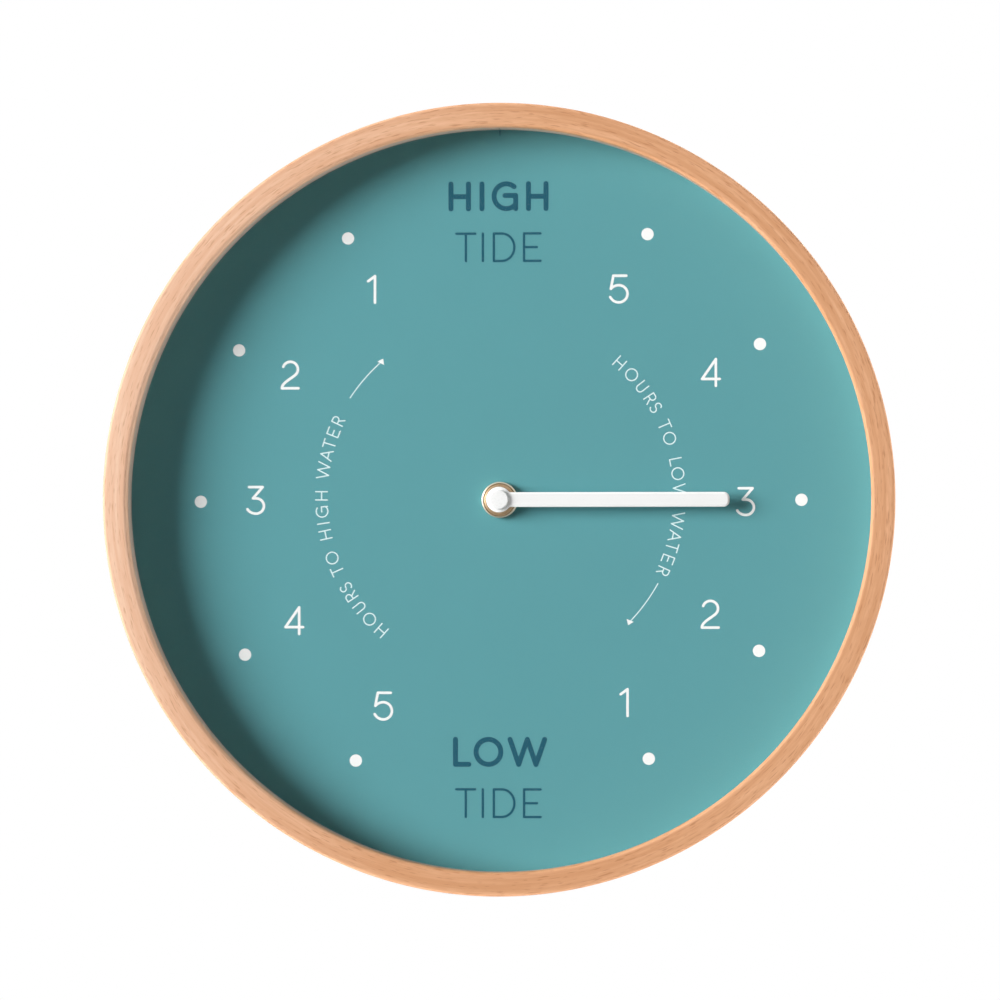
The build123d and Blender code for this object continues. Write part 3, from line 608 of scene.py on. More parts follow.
class Finish(Nodes):
    """The nodes of a material, on the object's own coordinates."""

    def __init__(self, name, **values):
        self.material = bpy.data.materials.new(name)
        super().__init__(self.material, "Object")
        for socket, value in values.items():
            self.use(socket.replace("_", " "), value)

    def use(self, socket, value):
        """Sets or joins an input of the shader."""
        self.join(self.tree.nodes["Principled BSDF"].inputs[socket], value)

    def stretched(self, across, up, deep):
        """The place, divided by a length along each axis."""
        return self.vector("MULTIPLY", self.place, (1 / across, 1 / up, 1 / deep))

    def radius(self):
        """Distance from the hand's axis."""
        flat = self.vector("MULTIPLY", self.place, (1.0, 0.0, 1.0))
        return self.vector("LENGTH", flat, output=1)

    def noise(self, feature, detail=3.0, roughness=0.55, place=None, fourth=None):
        """Cloudy noise from 0 to 1 with features of a size in metres, or of size 1 on a given
        place, which may have a fourth coordinate."""
        inputs = {"Vector": self.place if place is None else place, "Scale": 1 / feature,
                  "Detail": detail, "Roughness": roughness}
        if fourth is not None:
            inputs["W"] = fourth
        dimensions = "3D" if fourth is None else "4D"
        return self.add("ShaderNodeTexNoise", inputs, noise_dimensions=dimensions)

    def mean(self, share, first, second):
        """A share of the first value plus the rest of the second."""
        rest = self.calc("MULTIPLY", second, 1 - share)
        return self.calc("MULTIPLY_ADD", first, share, rest)

    def blend(self, factor, first, second):
        """Goes from the first colour to the second as the factor goes from 0 to 1."""
        return self.add("ShaderNodeMix", {0: factor, 6: first, 7: second}, 2, data_type="RGBA")

    def tones(self, factor, rgb, first, second):
        """Goes from one tone of a colour to another."""
        return self.blend(factor, tone(rgb, first), tone(rgb, second))

    def coat(self, paint, height, depth, strength, rough=None):
        """Gives the material, with its colour, and with its shading raised and lowered by a height
        map of a depth in metres. Rough is a noise and the two roughnesses that it goes between."""
        self.use("Base Color", paint)
        if rough:
            noise, low, high = rough
            self.use("Roughness", self.fit(noise, 0.3, 0.7, low, high))
        self.use("Normal", self.add("ShaderNodeBump", {
            "Height": height, "Distance": depth, "Strength": strength}))
        return self.material


def tone(rgb, factor):
    """A colour made lighter or darker by a factor."""
    return tuple(min(1.0, channel * factor) for channel in rgb)


def ring_grain(finish, length, width, detail):
    """Noise that runs round the rim. The circle's x and z shrink by the grain's length and the
    radius and depth by its width, so the pattern has no seam where a turn ends."""
    x, y, z = finish.parts()
    place = finish.add("ShaderNodeCombineXYZ", {
        0: finish.calc("DIVIDE", x, length),
        1: finish.calc("DIVIDE", z, length),
        2: finish.calc("DIVIDE", finish.radius(), width)})
    return finish.noise(1.0, detail, 0.5, place, finish.calc("DIVIDE", y, width))


def beech(rim):
    """Matt oiled beech bent round the clock: broad streaks, fine fibres and short dark flecks. A
    painted sheen of the key lamp makes it palest on one side, less so on the outer rounding and
    least towards the back, and fades the flecks there."""
    finish = Finish("beech_round_grain", Roughness=0.62, Specular_IOR_Level=0.3)
    streaks = ring_grain(finish, rim.streak_length, rim.streak_width, 3.0)
    fibres = ring_grain(finish, rim.fibre_length, rim.fibre_width, 2.0)
    flecks = ring_grain(finish, rim.fleck_length, rim.fleck_width, 1.0)
    low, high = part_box("wood_rim")
    side = finish.along((math.cos(rim.sheen_bearing), 0.0, math.sin(rim.sheen_bearing)))
    flat = low.y + rim.front_rounding
    behind = finish.fit(finish.parts()[1], flat, flat + rim.sheen_depth, 0.8, 0.1)
    corner = math.hypot(high.x, low.y)
    reach = finish.vector("LENGTH", finish.place, output=1)
    rounded = finish.fit(reach, corner - rim.front_rounding, corner, 1.0, 0.3)
    # Painted sheen: paler towards the key lamp's side, less so on the outer rounding and towards
    # the back, with fainter flecks
    pale = finish.calc("MULTIPLY", finish.fit(side, high.x * 0.1, high.x),
                       finish.calc("MULTIPLY", behind, rounded))
    light = finish.blend(pale, rim.light_wood, rim.sheen_light)
    dark = finish.blend(pale, rim.dark_wood, rim.sheen_dark)
    wood = finish.blend(finish.fit(streaks, 0.36, 0.64), light, dark)
    wood = finish.blend(finish.fit(fibres, 0.35, 0.65, 0.0, 0.6), wood, dark)
    mark = finish.calc("MULTIPLY", finish.fit(flecks, 0.58, 0.7, 0.0, 0.6),
                       finish.fit(pale, 0.0, 1.0, 1.0, 0.45))
    return finish.coat(finish.blend(mark, wood, rim.fleck_wood),
                       finish.calc("SUBTRACT", fibres, mark), 0.06 * MM, 0.5)


def card(rim):
    """Matt card with a faint fibre."""
    finish = Finish("pale_card", Roughness=0.85, Specular_IOR_Level=0.2)
    fibre = finish.noise(1.2 * MM, 4.0)
    return finish.coat(finish.tones(fibre, rim.strip_card, 0.94, 1.04), fibre, 0.03 * MM, 0.4)


def matt_print(name, rgb, grain=0.25 * MM, roughness=0.7):
    """Matt ink or paint: a fine grain in tone and height, and a broad one in tone."""
    finish = Finish(name, Roughness=roughness, Specular_IOR_Level=0.04)
    fine = finish.noise(grain)
    both = finish.mean(0.5, finish.noise(grain * 60, 2.0), fine)
    return finish.coat(finish.tones(both, rgb, 0.975, 1.025), fine, 0.01 * MM, 0.25)


def clear_glass():
    """Clear flat glass, roughened by a trace of dust. Its alpha lets most of the light through."""
    finish = Finish("clear_glass", Base_Color=srgb(250, 253, 252), Transmission_Weight=1.0,
                    IOR=1.46, Alpha=0.045)
    finish.use("Roughness", finish.fit(finish.noise(30 * MM, 4.0), 0.3, 0.8, 0.0, 0.03))
    return finish.material


def enamel(name, rgb, roughness=0.32, edge=None):
    """Sprayed enamel or smooth plastic: faint orange peel and a faint change of tone. The edge is
    a depth and a brighter colour painted behind that depth as a highlight."""
    finish = Finish(name, Specular_IOR_Level=0.4)
    peel = finish.noise(0.7 * MM, 2.0)
    paint = finish.tones(peel, rgb, 0.985, 1.0)
    if edge:
        paint = finish.blend(finish.past(finish.parts()[1], edge[0], 0.02 * MM), paint, edge[1])
    return finish.coat(paint, peel, 0.008 * MM, 0.3, (peel, roughness * 0.9, roughness * 1.1))


def turned_metal(name, rgb, roughness=0.4, edge=None):
    """Metal turned on a lathe: fine rings about the axis, browned in part, and a few darker
    stains. The edge is a radius and a brighter colour painted past that radius as a highlight."""
    finish = Finish(name, Metallic=1.0)
    line = finish.calc("DIVIDE", finish.radius(), 0.12 * MM)
    rings = finish.noise(1.0, place=finish.add("ShaderNodeCombineXYZ", {0: line}))
    stained = finish.tones(finish.fit(finish.noise(2.2 * MM), 0.5, 0.75), rgb, 1.0, 0.72)
    browned = tuple(channel * share for channel, share in zip(rgb, BROWNED_SHARES))
    metal = finish.blend(rings, browned, stained)
    if edge:
        metal = finish.blend(finish.past(finish.radius(), edge[0], 0.05 * MM), metal, edge[1])
    return finish.coat(metal, rings, 0.02 * MM, 0.5, (rings, roughness * 0.8, roughness * 1.25))


def plated_steel(name, rgb, roughness=0.38):
    """Zinc or nickel plating: cloudy crystals and faint rolling lines."""
    finish = Finish(name, Metallic=1.0)
    lines = finish.noise(1.0, 2.0, place=finish.stretched(25 * MM, 1.5 * MM, 0.15 * MM))
    both = finish.mean(0.4, lines, finish.noise(1.8 * MM, 4.0, 0.6))
    return finish.coat(finish.tones(both, rgb, 0.8, 1.15), both, 0.02 * MM, 0.35,
                       (both, roughness * 0.75, roughness * 1.3))


def moulded_plastic(name, rgb, roughness=0.5, texture=0.25 * MM):
    """Moulded plastic with a fine spark texture and slightly rubbed tone."""
    finish = Finish(name, Specular_IOR_Level=0.45)
    rub = finish.noise(12 * MM)
    return finish.coat(finish.tones(rub, rgb, 0.85, 1.2), finish.noise(texture), 0.03 * MM, 0.5,
                       (rub, roughness * 0.85, roughness * 1.15))


def hardboard(rgb):
    """Pressed fibre board: matted fibres, dark specks and a broad change of tone."""
    finish = Finish("fibre_board", Roughness=0.8, Specular_IOR_Level=0.25)
    fibres = finish.noise(0.9 * MM, 5.0, 0.65)
    specks = finish.fit(finish.noise(0.5 * MM, 2.0), 0.64, 0.72, 0.0, 0.6)
    broad = finish.fit(finish.noise(30 * MM), 0.35, 0.65, 0.0, 0.35)
    board = finish.tones(finish.fit(fibres, 0.3, 0.7), rgb, 0.72, 1.25)
    board = finish.blend(specks, board, tone(rgb, 0.4))
    return finish.coat(finish.blend(broad, board, tone(rgb, 1.3)), fibres, 0.12 * MM, 0.6)


def pine(rgb):
    """Sawn pine: growth rings drawn out along X, fine fibres and saw marks."""
    finish = Finish("sawn_pine", Roughness=0.7, Specular_IOR_Level=0.25)
    rings = finish.noise(1.0, 2.0, 0.4, finish.stretched(120 * MM, 4 * MM, 3.2 * MM))
    fibres = finish.noise(1.0, place=finish.stretched(18 * MM, 0.5 * MM, 0.3 * MM))
    saw = finish.noise(1.0, 1.0, place=finish.stretched(0.9 * MM, 9 * MM, 40 * MM))
    grain = finish.fit(finish.mean(0.35, fibres, rings), 0.35, 0.65)
    return finish.coat(finish.tones(grain, rgb, 1.12, 0.72), finish.calc("ADD", fibres, saw),
                       0.08 * MM, 0.5)


def wound_wire(rgb):
    """Enamelled wire: close turns about the coil's axis, with a glossy coat."""
    finish = Finish("enamelled_wire", Metallic=0.85, Roughness=0.3, Coat_Weight=0.4)
    turns = finish.calc("SINE", finish.calc("DIVIDE", finish.parts()[0], 0.03 * MM))
    cloud = finish.noise(1.5 * MM)
    return finish.coat(finish.tones(cloud, rgb, 0.75, 1.15), turns, 0.03 * MM, 0.6)


def cell_sleeve():
    """Plain two-tone sleeve of the cell: a scuffed satin wrap, a pale band and a bare steel button
    at its right end."""
    finish = Finish("cell_sleeve", Roughness=0.3)
    right_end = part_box("battery")[1].x
    x = finish.parts()[0]
    band = finish.past(x, right_end - CELL_BAND, 0.2 * MM)
    button = finish.past(x, right_end - CELL_BUTTON, 0.1 * MM)
    wrap = finish.blend(band, srgb(58, 66, 76), srgb(196, 170, 96))
    scuff = finish.noise(3 * MM, 5.0, 0.65)
    wrap = finish.blend(finish.fit(scuff, 0.62, 0.8, 0.0, 0.35), wrap, srgb(150, 150, 148))
    finish.use("Metallic", finish.fit(button, 0.0, 1.0, 0.35, 1.0))
    return finish.coat(finish.blend(button, wrap, srgb(196, 194, 188)), scuff, 0.01 * MM, 0.3)


def dress(material, *nodes):
    """Puts a finish on every material slot of some of the model's own parts."""
    for name in nodes:
        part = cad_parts[name]
        if not part.material_slots:
            part.data.materials.append(material)
        for slot in part.material_slots:
            slot.material = material


def hand_outline(settings, radius, length, inset):
    """Upper half of the hand's outline from the hub's far side to the tip, moved inwards by an
    inset: the hub's arc, the hollow fillet, the bar's edge and the tip's corner, each about its
    own centre, with convex radii less the inset and the fillet's radius more by it."""
    half, fillet, tip = settings.bar_width / 2, settings.root_fillet, settings.tip_rounding
    fillet_x = math.sqrt((radius + fillet) ** 2 - (half + fillet) ** 2)
    bearing = math.degrees(math.atan2(half + fillet, fillet_x))
    hub = corner_arc((0.0, 0.0), radius - inset, 180, bearing, HUB_STEPS)
    hollow = corner_arc((fillet_x, half + fillet), fillet + inset, bearing + 180, 270,
                        FILLET_STEPS)
    corner = corner_arc((length - tip, half - tip), tip - inset, 90, 0, TIP_STEPS)
    return np.concatenate([hub, hollow[1:], corner, [(length - inset, 0.0)]])


def hand_shell(settings, radius, length, front, back):
    """Outlines carried through the hand's thickness, from the small rounding at its back to the
    bevel at its front. Front and back are closed by quads between the two mirrored halves."""
    soft, bevel, fall = settings.edge_rounding, settings.bevel, settings.bevel_depth
    levels = [(soft, back), (0.0, back - soft), (0.0, front + fall + soft / 2),
              (soft / 2, front + fall), (bevel - soft / 2, front + soft / 4),
              (bevel + soft / 2, front)]
    rings = []
    for inset, depth in levels:
        upper = hand_outline(settings, radius, length, inset)
        lower = upper[-2:0:-1] * (1, -1)
        rings.append(np.insert(np.concatenate([upper, lower]), 1, depth, axis=1))
    count = len(rings[0])
    half = len(upper) - 1
    top = np.arange(1, half - 1)
    ladder = np.stack([top, top + 1, count - top - 1, count - top], axis=-1)
    ends = np.array([[0, 1, count - 1], [half, half + 1, half - 1]])
    front_start = (len(rings) - 1) * count
    quads = np.concatenate([grid_quads(len(rings), count, wrap_columns=True), ladder,
                            ladder[:, ::-1] + front_start])
    return Shell(np.stack(rings), quads, np.concatenate([ends, ends[:, ::-1] + front_start]))


class TIDECLOCK_OT_rim(bpy.types.Operator):
    """Turn the beech rim and the pale strip inside it"""

    bl_idname = "tide_clock.rim"
    bl_label = "Rim and strip"

    def execute(self, context):
        rim = context.scene.tide_clock_rim
        low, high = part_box("wood_rim")
        glass_low, glass_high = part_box("glass_lens")
        outer, front, back, lip_back = high.x, low.y, high.y, glass_low.y
        inner, rebate = outer - rim.face_width, glass_high.x + rim.rebate_clearance
        soft, lip = rim.front_rounding, rim.lip_rounding
        hard, small = rim.back_rounding, rim.edge_break
        profile = np.concatenate([
            corner_arc((inner + lip, front + lip), lip, 180, 270),
            corner_arc((outer - soft, front + soft), soft, 270, 360),
            corner_arc((outer - hard, back - hard), hard, 0, 90),
            corner_arc((rebate + small, back - small), small, 90, 180, BREAK_STEPS),
            [(rebate, lip_back)],
            corner_arc((inner + small, lip_back - small), small, 90, 180, BREAK_STEPS)])
        add_piece("beech_rim", [revolved_ring(profile, ROUND_STEPS)], beech(rim), "clock_case",
                  "beech", "wood_rim")
        low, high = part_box("spacer_ring")
        inner += rim.strip_setback
        strip = [(inner, low.y), (high.x, low.y), (high.x, high.y), (inner, high.y)]
        gap = rim.strip_joint / inner
        shell = revolved_ring(strip, ROUND_STEPS, FULL_TURN - gap, math.pi / 2 + gap / 2)
        add_piece("card_strip", [shell], card(rim), "clock_case", "spacer_card", "spacer_ring")
        return {"FINISHED"}


class TIDECLOCK_OT_dial(bpy.types.Operator):
    """Paint the dial and clear the glass"""

    bl_idname = "tide_clock.dial"
    bl_label = "Dial and glass"

    def execute(self, context):
        ink = context.scene.tide_clock_scale
        dress(matt_print("dial_paint", ink.paint, 0.35 * MM, 0.8), "dial_plate")
        dress(clear_glass(), "glass_lens")
        return {"FINISHED"}


# Each number with its bearing and its share of the numbers' circle, and the bearings of the dots
NUMBER_PLACES = (
    ("1", 121.85, 1.0085), ("2", 149.95, 1.005), ("3", 180.87, 1.013), ("4", 211.05, 0.9945),
    ("5", 240.86, 0.991), ("5", 60.1, 0.985), ("4", 30.3, 1.0075), ("3", -1.33, 1.012),
    ("2", -29.33, 0.9935), ("1", -58.95, 0.992))
DOT_BEARINGS = (120.5, 150.7, 180.9, 211.7, 241.3, 60.6, 30.3, -0.7, -30.8, -60.4)


class TIDECLOCK_OT_numbers(bpy.types.Operator):
    """Print the numbers and the hour dots"""

    bl_idname = "tide_clock.numbers"
    bl_label = "Numbers and dots"

    def execute(self, context):
        ink = context.scene.tide_clock_scale
        white = matt_print("white_ink", ink.white_ink)
        shells = []
        for sign, bearing, share in NUMBER_PLACES:
            middle = about(ink.scale_rise + ink.number_rise, ink.number_circle * share, bearing)
            shells += sign_shells(sign, middle, ink.number_height, ink.number_stroke, ink)
        print_piece("scale_numbers", shells, white)
        radius, (front, back) = ink.dot_diameter / 2, ink_depths(ink)
        profile = [(0, front), (radius, front), (radius, back), (0, back)]
        dots = [revolved_solid(profile, DOT_STEPS, about(ink.scale_rise, ink.dot_circle, bearing))
                for bearing in DOT_BEARINGS]
        print_piece("hour_dots", dots, white)
        return {"FINISHED"}


class TIDECLOCK_OT_words(bpy.types.Operator):
    """Print the words at the top and the bottom of the dial"""

    bl_idname = "tide_clock.words"
    bl_label = "Scale words"

    def execute(self, context):
        ink = context.scene.tide_clock_scale
        lines = (("HIGH", ink.outer_word, ink.bold_stroke, -ink.word_shift),
                 ("TIDE", ink.inner_word, ink.light_stroke, -ink.word_shift),
                 ("LOW", -ink.inner_word, ink.bold_stroke, 0.0),
                 ("TIDE", -ink.outer_word, ink.light_stroke, -ink.word_shift))
        shells = []
        for text, rise, stroke, shift in lines:
            places, width = letter_places(text, ink.word_height, stroke)
            for letter, place in places:
                middle = (place - width / 2 + shift, rise + ink.word_rise)
                shells += sign_shells(letter, middle, ink.word_height, stroke, ink)
        dark = matt_print("word_ink", ink.word_ink)
        print_piece("scale_words", shells, dark)
        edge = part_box("wood_rim")[1].x - context.scene.tide_clock_rim.face_width
        mark = [(0.0, edge - ink.mark_length), (0.0, edge)]
        print_piece("top_mark", [ribbon(mark, ink.mark_width, *ink_depths(ink))], dark)
        return {"FINISHED"}


# Captions and arrows, with the bearings of their two ends, read clockwise
CAPTIONS = (("HOURS TO HIGH WATER", 229.9, 153.7), ("HOURS TO LOW WATER", 49.6, -25.8))
ARROWS = ((146.6, 130.2), (-28.9, -45.2))


def caption_shells(text, start, end, ink):
    """Letters that stand on an arc, each turned to its own bearing. The track between the letters
    is the one at which the line's width is the arc's length at the letters' mid height."""
    radius = ink.caption_circle + ink.caption_height / 2
    length = math.radians(start - end) * radius
    sizes = ink.caption_height, ink.caption_stroke
    bare, spaced = (letter_places(text, *sizes, track)[1] for track in (0.0, 1.0))
    shells = []
    for letter, place in letter_places(text, *sizes, (length - bare) / (spaced - bare))[0]:
        bearing = math.radians(start) - place / radius
        middle = about(ink.scale_rise, radius, math.degrees(bearing))
        shells += sign_shells(letter, middle, *sizes, ink, bearing - math.pi / 2)
    return shells


def arrow_shells(start, end, ink):
    """A thin arc with a three-cornered head at its clockwise end."""
    radius, half = ink.arrow_circle, ink.arrow_head_width / 2
    head_turn = math.degrees(ink.arrow_head_length / radius)
    shaft = arc((0.0, ink.scale_rise), (radius, radius), start, end + head_turn / 2)
    head = np.array([about(ink.scale_rise, radius + side, end + back)
                     for side, back in ((0, 0), (half, head_turn), (-half, head_turn))])
    middle = head.mean(axis=0)
    cosine, sine = math.cos(ink.arrow_head_turn), math.sin(ink.arrow_head_turn)
    head = middle + (head - middle) @ np.array(((cosine, sine), (-sine, cosine)))
    return ribbon(shaft, ink.arrow_stroke, *ink_depths(ink)), plate(head, *ink_depths(ink, 1))


class TIDECLOCK_OT_captions(bpy.types.Operator):
    """Print the captions and arrows on the two arcs"""

    bl_idname = "tide_clock.captions"
    bl_label = "Arc captions and arrows"

    def execute(self, context):
        ink = context.scene.tide_clock_scale
        pale = matt_print("caption_ink", ink.caption_ink)
        letters = [shell for caption in CAPTIONS for shell in caption_shells(*caption, ink)]
        print_piece("arc_captions", letters, pale)
        shafts, heads = zip(*(arrow_shells(*ends, ink) for ends in ARROWS))
        print_piece("arc_arrow_shafts", shafts, pale)
        print_piece("arc_arrow_heads", heads, matt_print("arrow_ink", ink.white_ink))
        return {"FINISHED"}


class TIDECLOCK_OT_hand(bpy.types.Operator):
    """Shape the hand with its hub and boss, and the cap over the tube"""

    bl_idname = "tide_clock.hand"
    bl_label = "Hand and cap"

    def execute(self, context):
        settings = context.scene.tide_clock_hand
        low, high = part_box("tide_hand")
        radius, front, bore = -low.x, low.y, settings.tube_radius
        back, soft = front + settings.bar_thickness, settings.edge_rounding
        bar = hand_shell(settings, radius, high.x, front, back)
        boss = np.concatenate([
            [(bore, back - soft), (radius - soft, back - soft)],
            corner_arc((radius - soft * 2, high.y - soft), soft, 0, 90, BREAK_STEPS),
            corner_arc((bore + soft, high.y - soft), soft, 90, 180, BREAK_STEPS)])
        # Painted highlight on the hand's bevels: everything behind the front face is a brighter
        # white
        white = enamel("hand_enamel", settings.enamel, edge=(front + soft / 4, settings.bevel_highlight))
        add_piece("white_hand", [bar, revolved_ring(boss, SMALL_STEPS)], white, "hand",
                  "hand_paint", "tide_hand")
        low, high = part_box("hand_cap")
        edge, rise, stem = settings.cap_rounding, settings.cap_dome, settings.stem_radius
        flat = high.x - edge
        share = np.linspace(0, 1, DOME_STEPS)[:-1]
        profile = np.concatenate([
            np.stack([flat * share, low.y + rise * share ** 2], axis=-1),
            corner_arc((flat, low.y + rise + edge), edge, 270, 360),
            [(high.x, front), (stem, front), (stem, high.y), (0.0, high.y)]])
        add_piece("round_cap", [revolved_solid(profile, SMALL_STEPS)],
                  enamel("cap_plastic", settings.enamel, 0.28), "hand", "cap_plastic", "hand_cap")
        return {"FINISHED"}


class TIDECLOCK_OT_nut(bpy.types.Operator):
    """Turn the round brass nut, and finish the bush and the washers"""

    bl_idname = "tide_clock.nut"
    bl_label = "Nut and washers"

    def execute(self, context):
        settings = context.scene.tide_clock_hand
        low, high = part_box("brass_nut")
        radius, front, back, bore = high.x, low.y, high.y, settings.nut_bore
        edge, soft = settings.nut_chamfer, settings.edge_rounding
        width = settings.nut_groove_width
        groove = radius - edge - width
        across = -GROOVE_SHARE * np.cos(np.linspace(0, math.pi, GROOVE_STEPS))
        fall = settings.nut_groove_depth * np.cos(across * math.pi / 2)
        profile = np.concatenate([
            [(bore, back), (bore, front + soft), (bore + soft, front), (groove - width, front)],
            np.stack([groove + width * across, front + fall], axis=-1),
            [(radius - edge, front + soft), (radius, front + edge), (radius, back - soft),
             (radius - soft, back)]])
        # The nut's outer chamfer carries a painted highlight in a pale cream
        highlighted_brass = turned_metal("turned_nut_brass", settings.brass,
                                edge=(radius - edge, settings.chamfer_highlight))
        add_piece("turned_nut", [revolved_ring(profile, SMALL_STEPS)], highlighted_brass, "clock_case",
                  "brass", "brass_nut")
        dress(turned_metal("turned_brass", settings.brass), "brass_washer", "mounting_bush")
        dress(moulded_plastic("washer_rubber", srgb(38, 38, 38), 0.8, 0.15 * MM), "rubber_washer")
        return {"FINISHED"}


class TIDECLOCK_OT_back(bpy.types.Operator):
    """Finish the board, the brackets, the hanging block and its plate"""

    bl_idname = "tide_clock.back"
    bl_label = "Back fittings"

    def execute(self, context):
        dress(hardboard(srgb(150, 108, 74)), "backing_board")
        dress(plated_steel("zinc_plate", srgb(190, 190, 186)), "retaining_brackets",
              "hanger_plate")
        dress(plated_steel("screw_steel", srgb(198, 190, 160), 0.3), "bracket_screws",
              "hanger_screws")
        dress(pine(srgb(222, 184, 134)), "hanging_block")
        return {"FINISHED"}


class TIDECLOCK_OT_movement(bpy.types.Operator):
    """Finish the quartz movement, its wheels, its coil and its cell"""

    bl_idname = "tide_clock.movement"
    bl_label = "Movement"

    def execute(self, context):
        dress(moulded_plastic("case_plastic", srgb(44, 45, 47), 0.55), "movement_front_housing",
              "movement_rear_cover")
        dress(moulded_plastic("knob_plastic", srgb(54, 54, 56), 0.4, 0.4 * MM), "setting_knob")
        dress(moulded_plastic("chip_resin", srgb(30, 30, 30), 0.35, 0.8 * MM), "clock_chip")
        dress(enamel("natural_acetal", srgb(232, 229, 218), 0.4), "hour_wheel", "minute_wheel",
              "third_wheel", "second_wheel", "intermediate_wheel", "rotor_pinion", "coil_bobbin")
        dress(turned_metal("bright_brass", srgb(214, 182, 118), 0.25), "cannon_pinion",
              "centre_wheel")
        dress(plated_steel("ferrite", srgb(78, 78, 80), 0.5), "rotor_magnet")
        dress(plated_steel("soft_iron", srgb(168, 168, 168), 0.35), "stator", "coil_core")
        dress(plated_steel("nickel_strip", srgb(212, 208, 198), 0.25), "plus_contact",
              "minus_contact")
        dress(plated_steel("bright_can", srgb(220, 220, 222), 0.2), "quartz_can")
        dress(moulded_plastic("green_laminate", srgb(34, 104, 62), 0.4, 0.6 * MM),
              "circuit_board")
        dress(wound_wire(srgb(206, 122, 76)), "coil_winding")
        dress(cell_sleeve(), "battery")
        return {"FINISHED"}


def lamp(name, share, bearing, rise, spread):
    """A far soft lamp. Its strength is the share of plain light that it gives the dial's plane,
    times pi, over the sine of its rise; a rise below zero stands behind the clock."""
    light = bpy.data.lights.new(name, "SUN")
    light.energy = share * math.pi / abs(math.sin(rise))
    light.angle = spread
    holder = add_object(name, light)
    holder.location = (math.cos(rise) * math.cos(bearing), -math.sin(rise),
                       math.cos(rise) * math.sin(bearing))
    holder.rotation_euler = holder.location.to_track_quat("Z", "Y").to_euler()


def pale_world(stage):
    """White where the camera or a reflection looks at it. As light it is dim in front and behind,
    and grows in a straight line towards the clock's own plane, as the walls of a light tent do.
    Those walls are brighter on one side."""
    world = bpy.data.worlds.new("pale_world")
    nodes = Nodes(world, "Generated")
    off_plane = nodes.calc("ABSOLUTE", nodes.along((0.0, 1.0, 0.0)))
    side = nodes.along((math.cos(stage.ring_bearing), 0.0, math.sin(stage.ring_bearing)))
    ring = nodes.fit(side, -1.0, 1.0, stage.ambient + stage.ring_dim,
                     stage.ambient + stage.ring_bright)
    lighting = nodes.fit(off_plane, 0.0, stage.ring_reach, ring, stage.ambient)
    path = nodes.add("ShaderNodeLightPath", {}).node.outputs
    seen = nodes.calc("MAXIMUM", path["Is Camera Ray"], path["Is Glossy Ray"])
    background = nodes.tree.nodes["Background"].inputs
    nodes.join(background["Strength"], nodes.fit(seen, 0.0, 1.0, lighting, 1.0))
    nodes.join(background["Color"], (1.0, 1.0, 1.0))
    bpy.context.scene.world = world


def pale_floor(stage):
    """A pale floor well below the clock, a little whiter to the camera so that only shadows show.
    The light from below passes through it."""
    finish = Finish("studio_floor", Roughness=0.9, Specular_IOR_Level=0.1)
    finish.use("Base Color", finish.tones(finish.noise(8 * MM), stage.floor_paint, 0.98, 1.0))
    camera_ray = finish.add("ShaderNodeLightPath", {})
    finish.use("Emission Color", (1.0, 1.0, 1.0))
    finish.use("Emission Strength", finish.calc("MULTIPLY", camera_ray, stage.floor_glow))
    level_z = CAD_BOX[0].z - stage.floor_drop
    half = stage.floor_half_width
    mesh = bpy.data.meshes.new("studio_floor")
    mesh.from_pydata([(-half, -half, level_z), (half, -half, level_z), (half, half, level_z),
                      (-half, half, level_z)], [], [(0, 1, 2, 3)])
    mesh.materials.append(finish.material)
    floor = add_object("studio_floor", mesh)
    floor.visible_diffuse = floor.visible_shadow = False


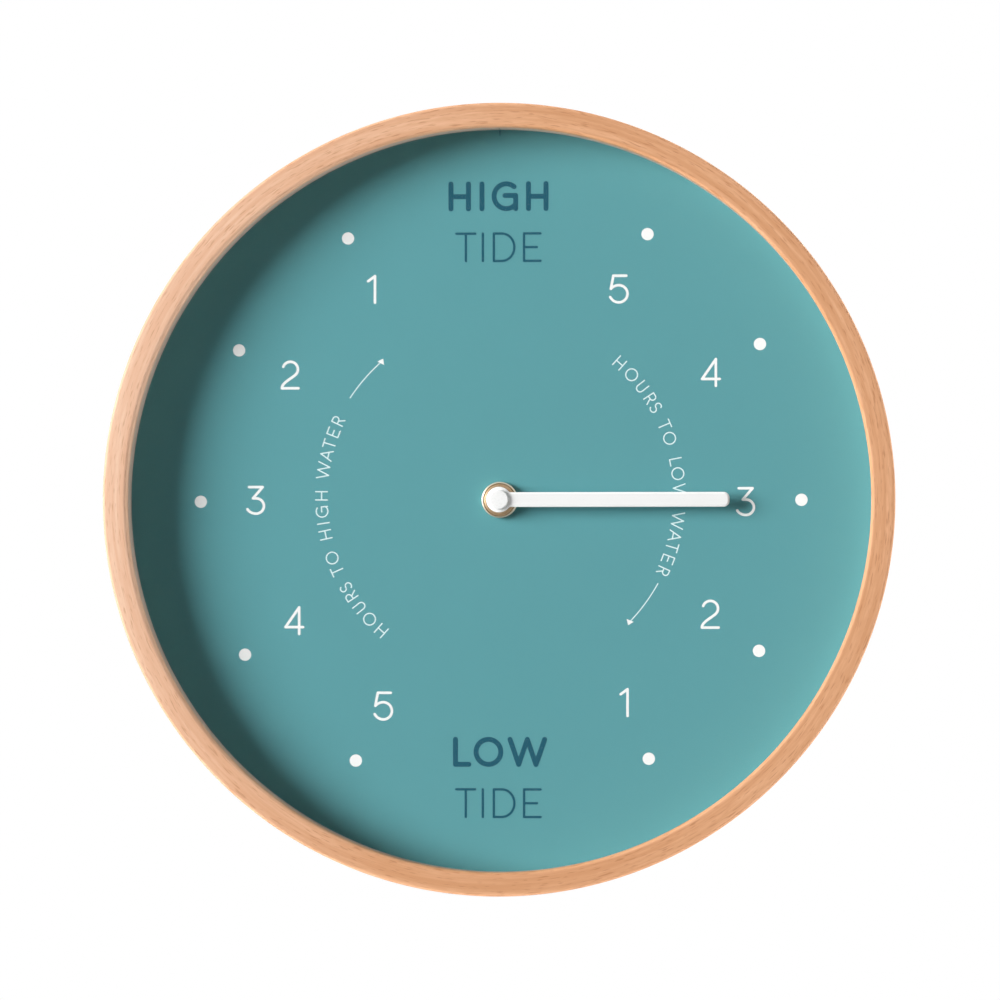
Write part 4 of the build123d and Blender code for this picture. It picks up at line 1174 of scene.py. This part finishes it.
class TIDECLOCK_OT_stage(bpy.types.Operator):
    """Set the camera, the lamps, the pale world and the floor"""

    bl_idname = "tide_clock.stage"
    bl_label = "Stage"

    def execute(self, context):
        stage = context.scene.tide_clock_stage
        right, below = stage.camera_right, stage.camera_below
        away = Vector((math.sin(right) * math.cos(below), -math.cos(right) * math.cos(below),
                       -math.sin(below)))
        data = bpy.data.cameras.new("photo_camera")
        data.sensor_fit = "HORIZONTAL"
        data.lens = data.sensor_width * stage.camera_distance / stage.view_width
        camera = add_object("photo_camera", data)
        camera.location = Vector((0.0, dial_front(), 0.0)) + away * stage.camera_distance
        camera.rotation_euler = away.to_track_quat("Z", "Y").to_euler()
        context.scene.camera = camera
        lamp("key_lamp", stage.key_level, stage.key_bearing, stage.key_rise, stage.key_spread)
        lamp("back_lamp", stage.back_level, stage.back_bearing, -stage.back_rise,
             stage.back_spread)
        pale_world(stage)
        pale_floor(stage)
        context.scene.view_settings.view_transform = "Standard"
        return {"FINISHED"}


SETTINGS = (("tide_clock_rim", RimSettings), ("tide_clock_scale", ScaleSettings),
            ("tide_clock_hand", HandSettings), ("tide_clock_stage", StageSettings))
OPERATORS = (TIDECLOCK_OT_rim, TIDECLOCK_OT_dial, TIDECLOCK_OT_numbers, TIDECLOCK_OT_words,
             TIDECLOCK_OT_captions, TIDECLOCK_OT_hand, TIDECLOCK_OT_nut, TIDECLOCK_OT_back,
             TIDECLOCK_OT_movement, TIDECLOCK_OT_stage)


class TIDECLOCK_PT_panel(bpy.types.Panel):
    """Lists the clock's settings and the steps that dress it"""

    bl_idname = "TIDECLOCK_PT_panel"
    bl_label = "Tide clock"
    bl_space_type = "VIEW_3D"
    bl_region_type = "UI"
    bl_category = "Tide clock"

    def draw(self, context):
        for operator in OPERATORS:
            self.layout.operator(operator.bl_idname)
        for name, group in SETTINGS:
            box = self.layout.box()
            box.label(text=group.__doc__)
            for prop in group.__annotations__:
                box.prop(getattr(context.scene, name), prop)


def register():
    for name, group in SETTINGS:
        bpy.utils.register_class(group)
        setattr(bpy.types.Scene, name, PointerProperty(type=group))
    for cls in (*OPERATORS, TIDECLOCK_PT_panel):
        bpy.utils.register_class(cls)


def unregister():
    for cls in (TIDECLOCK_PT_panel, *reversed(OPERATORS)):
        bpy.utils.unregister_class(cls)
    for name, group in reversed(SETTINGS):
        delattr(bpy.types.Scene, name)
        bpy.utils.unregister_class(group)


def main():
    register()
    bpy.ops.tide_clock.rim()
    bpy.ops.tide_clock.dial()
    bpy.ops.tide_clock.numbers()
    bpy.ops.tide_clock.words()
    bpy.ops.tide_clock.captions()
    bpy.ops.tide_clock.hand()
    bpy.ops.tide_clock.nut()
    bpy.ops.tide_clock.back()
    bpy.ops.tide_clock.movement()
    bpy.ops.tide_clock.stage()


if __name__ == "__main__":
    main()
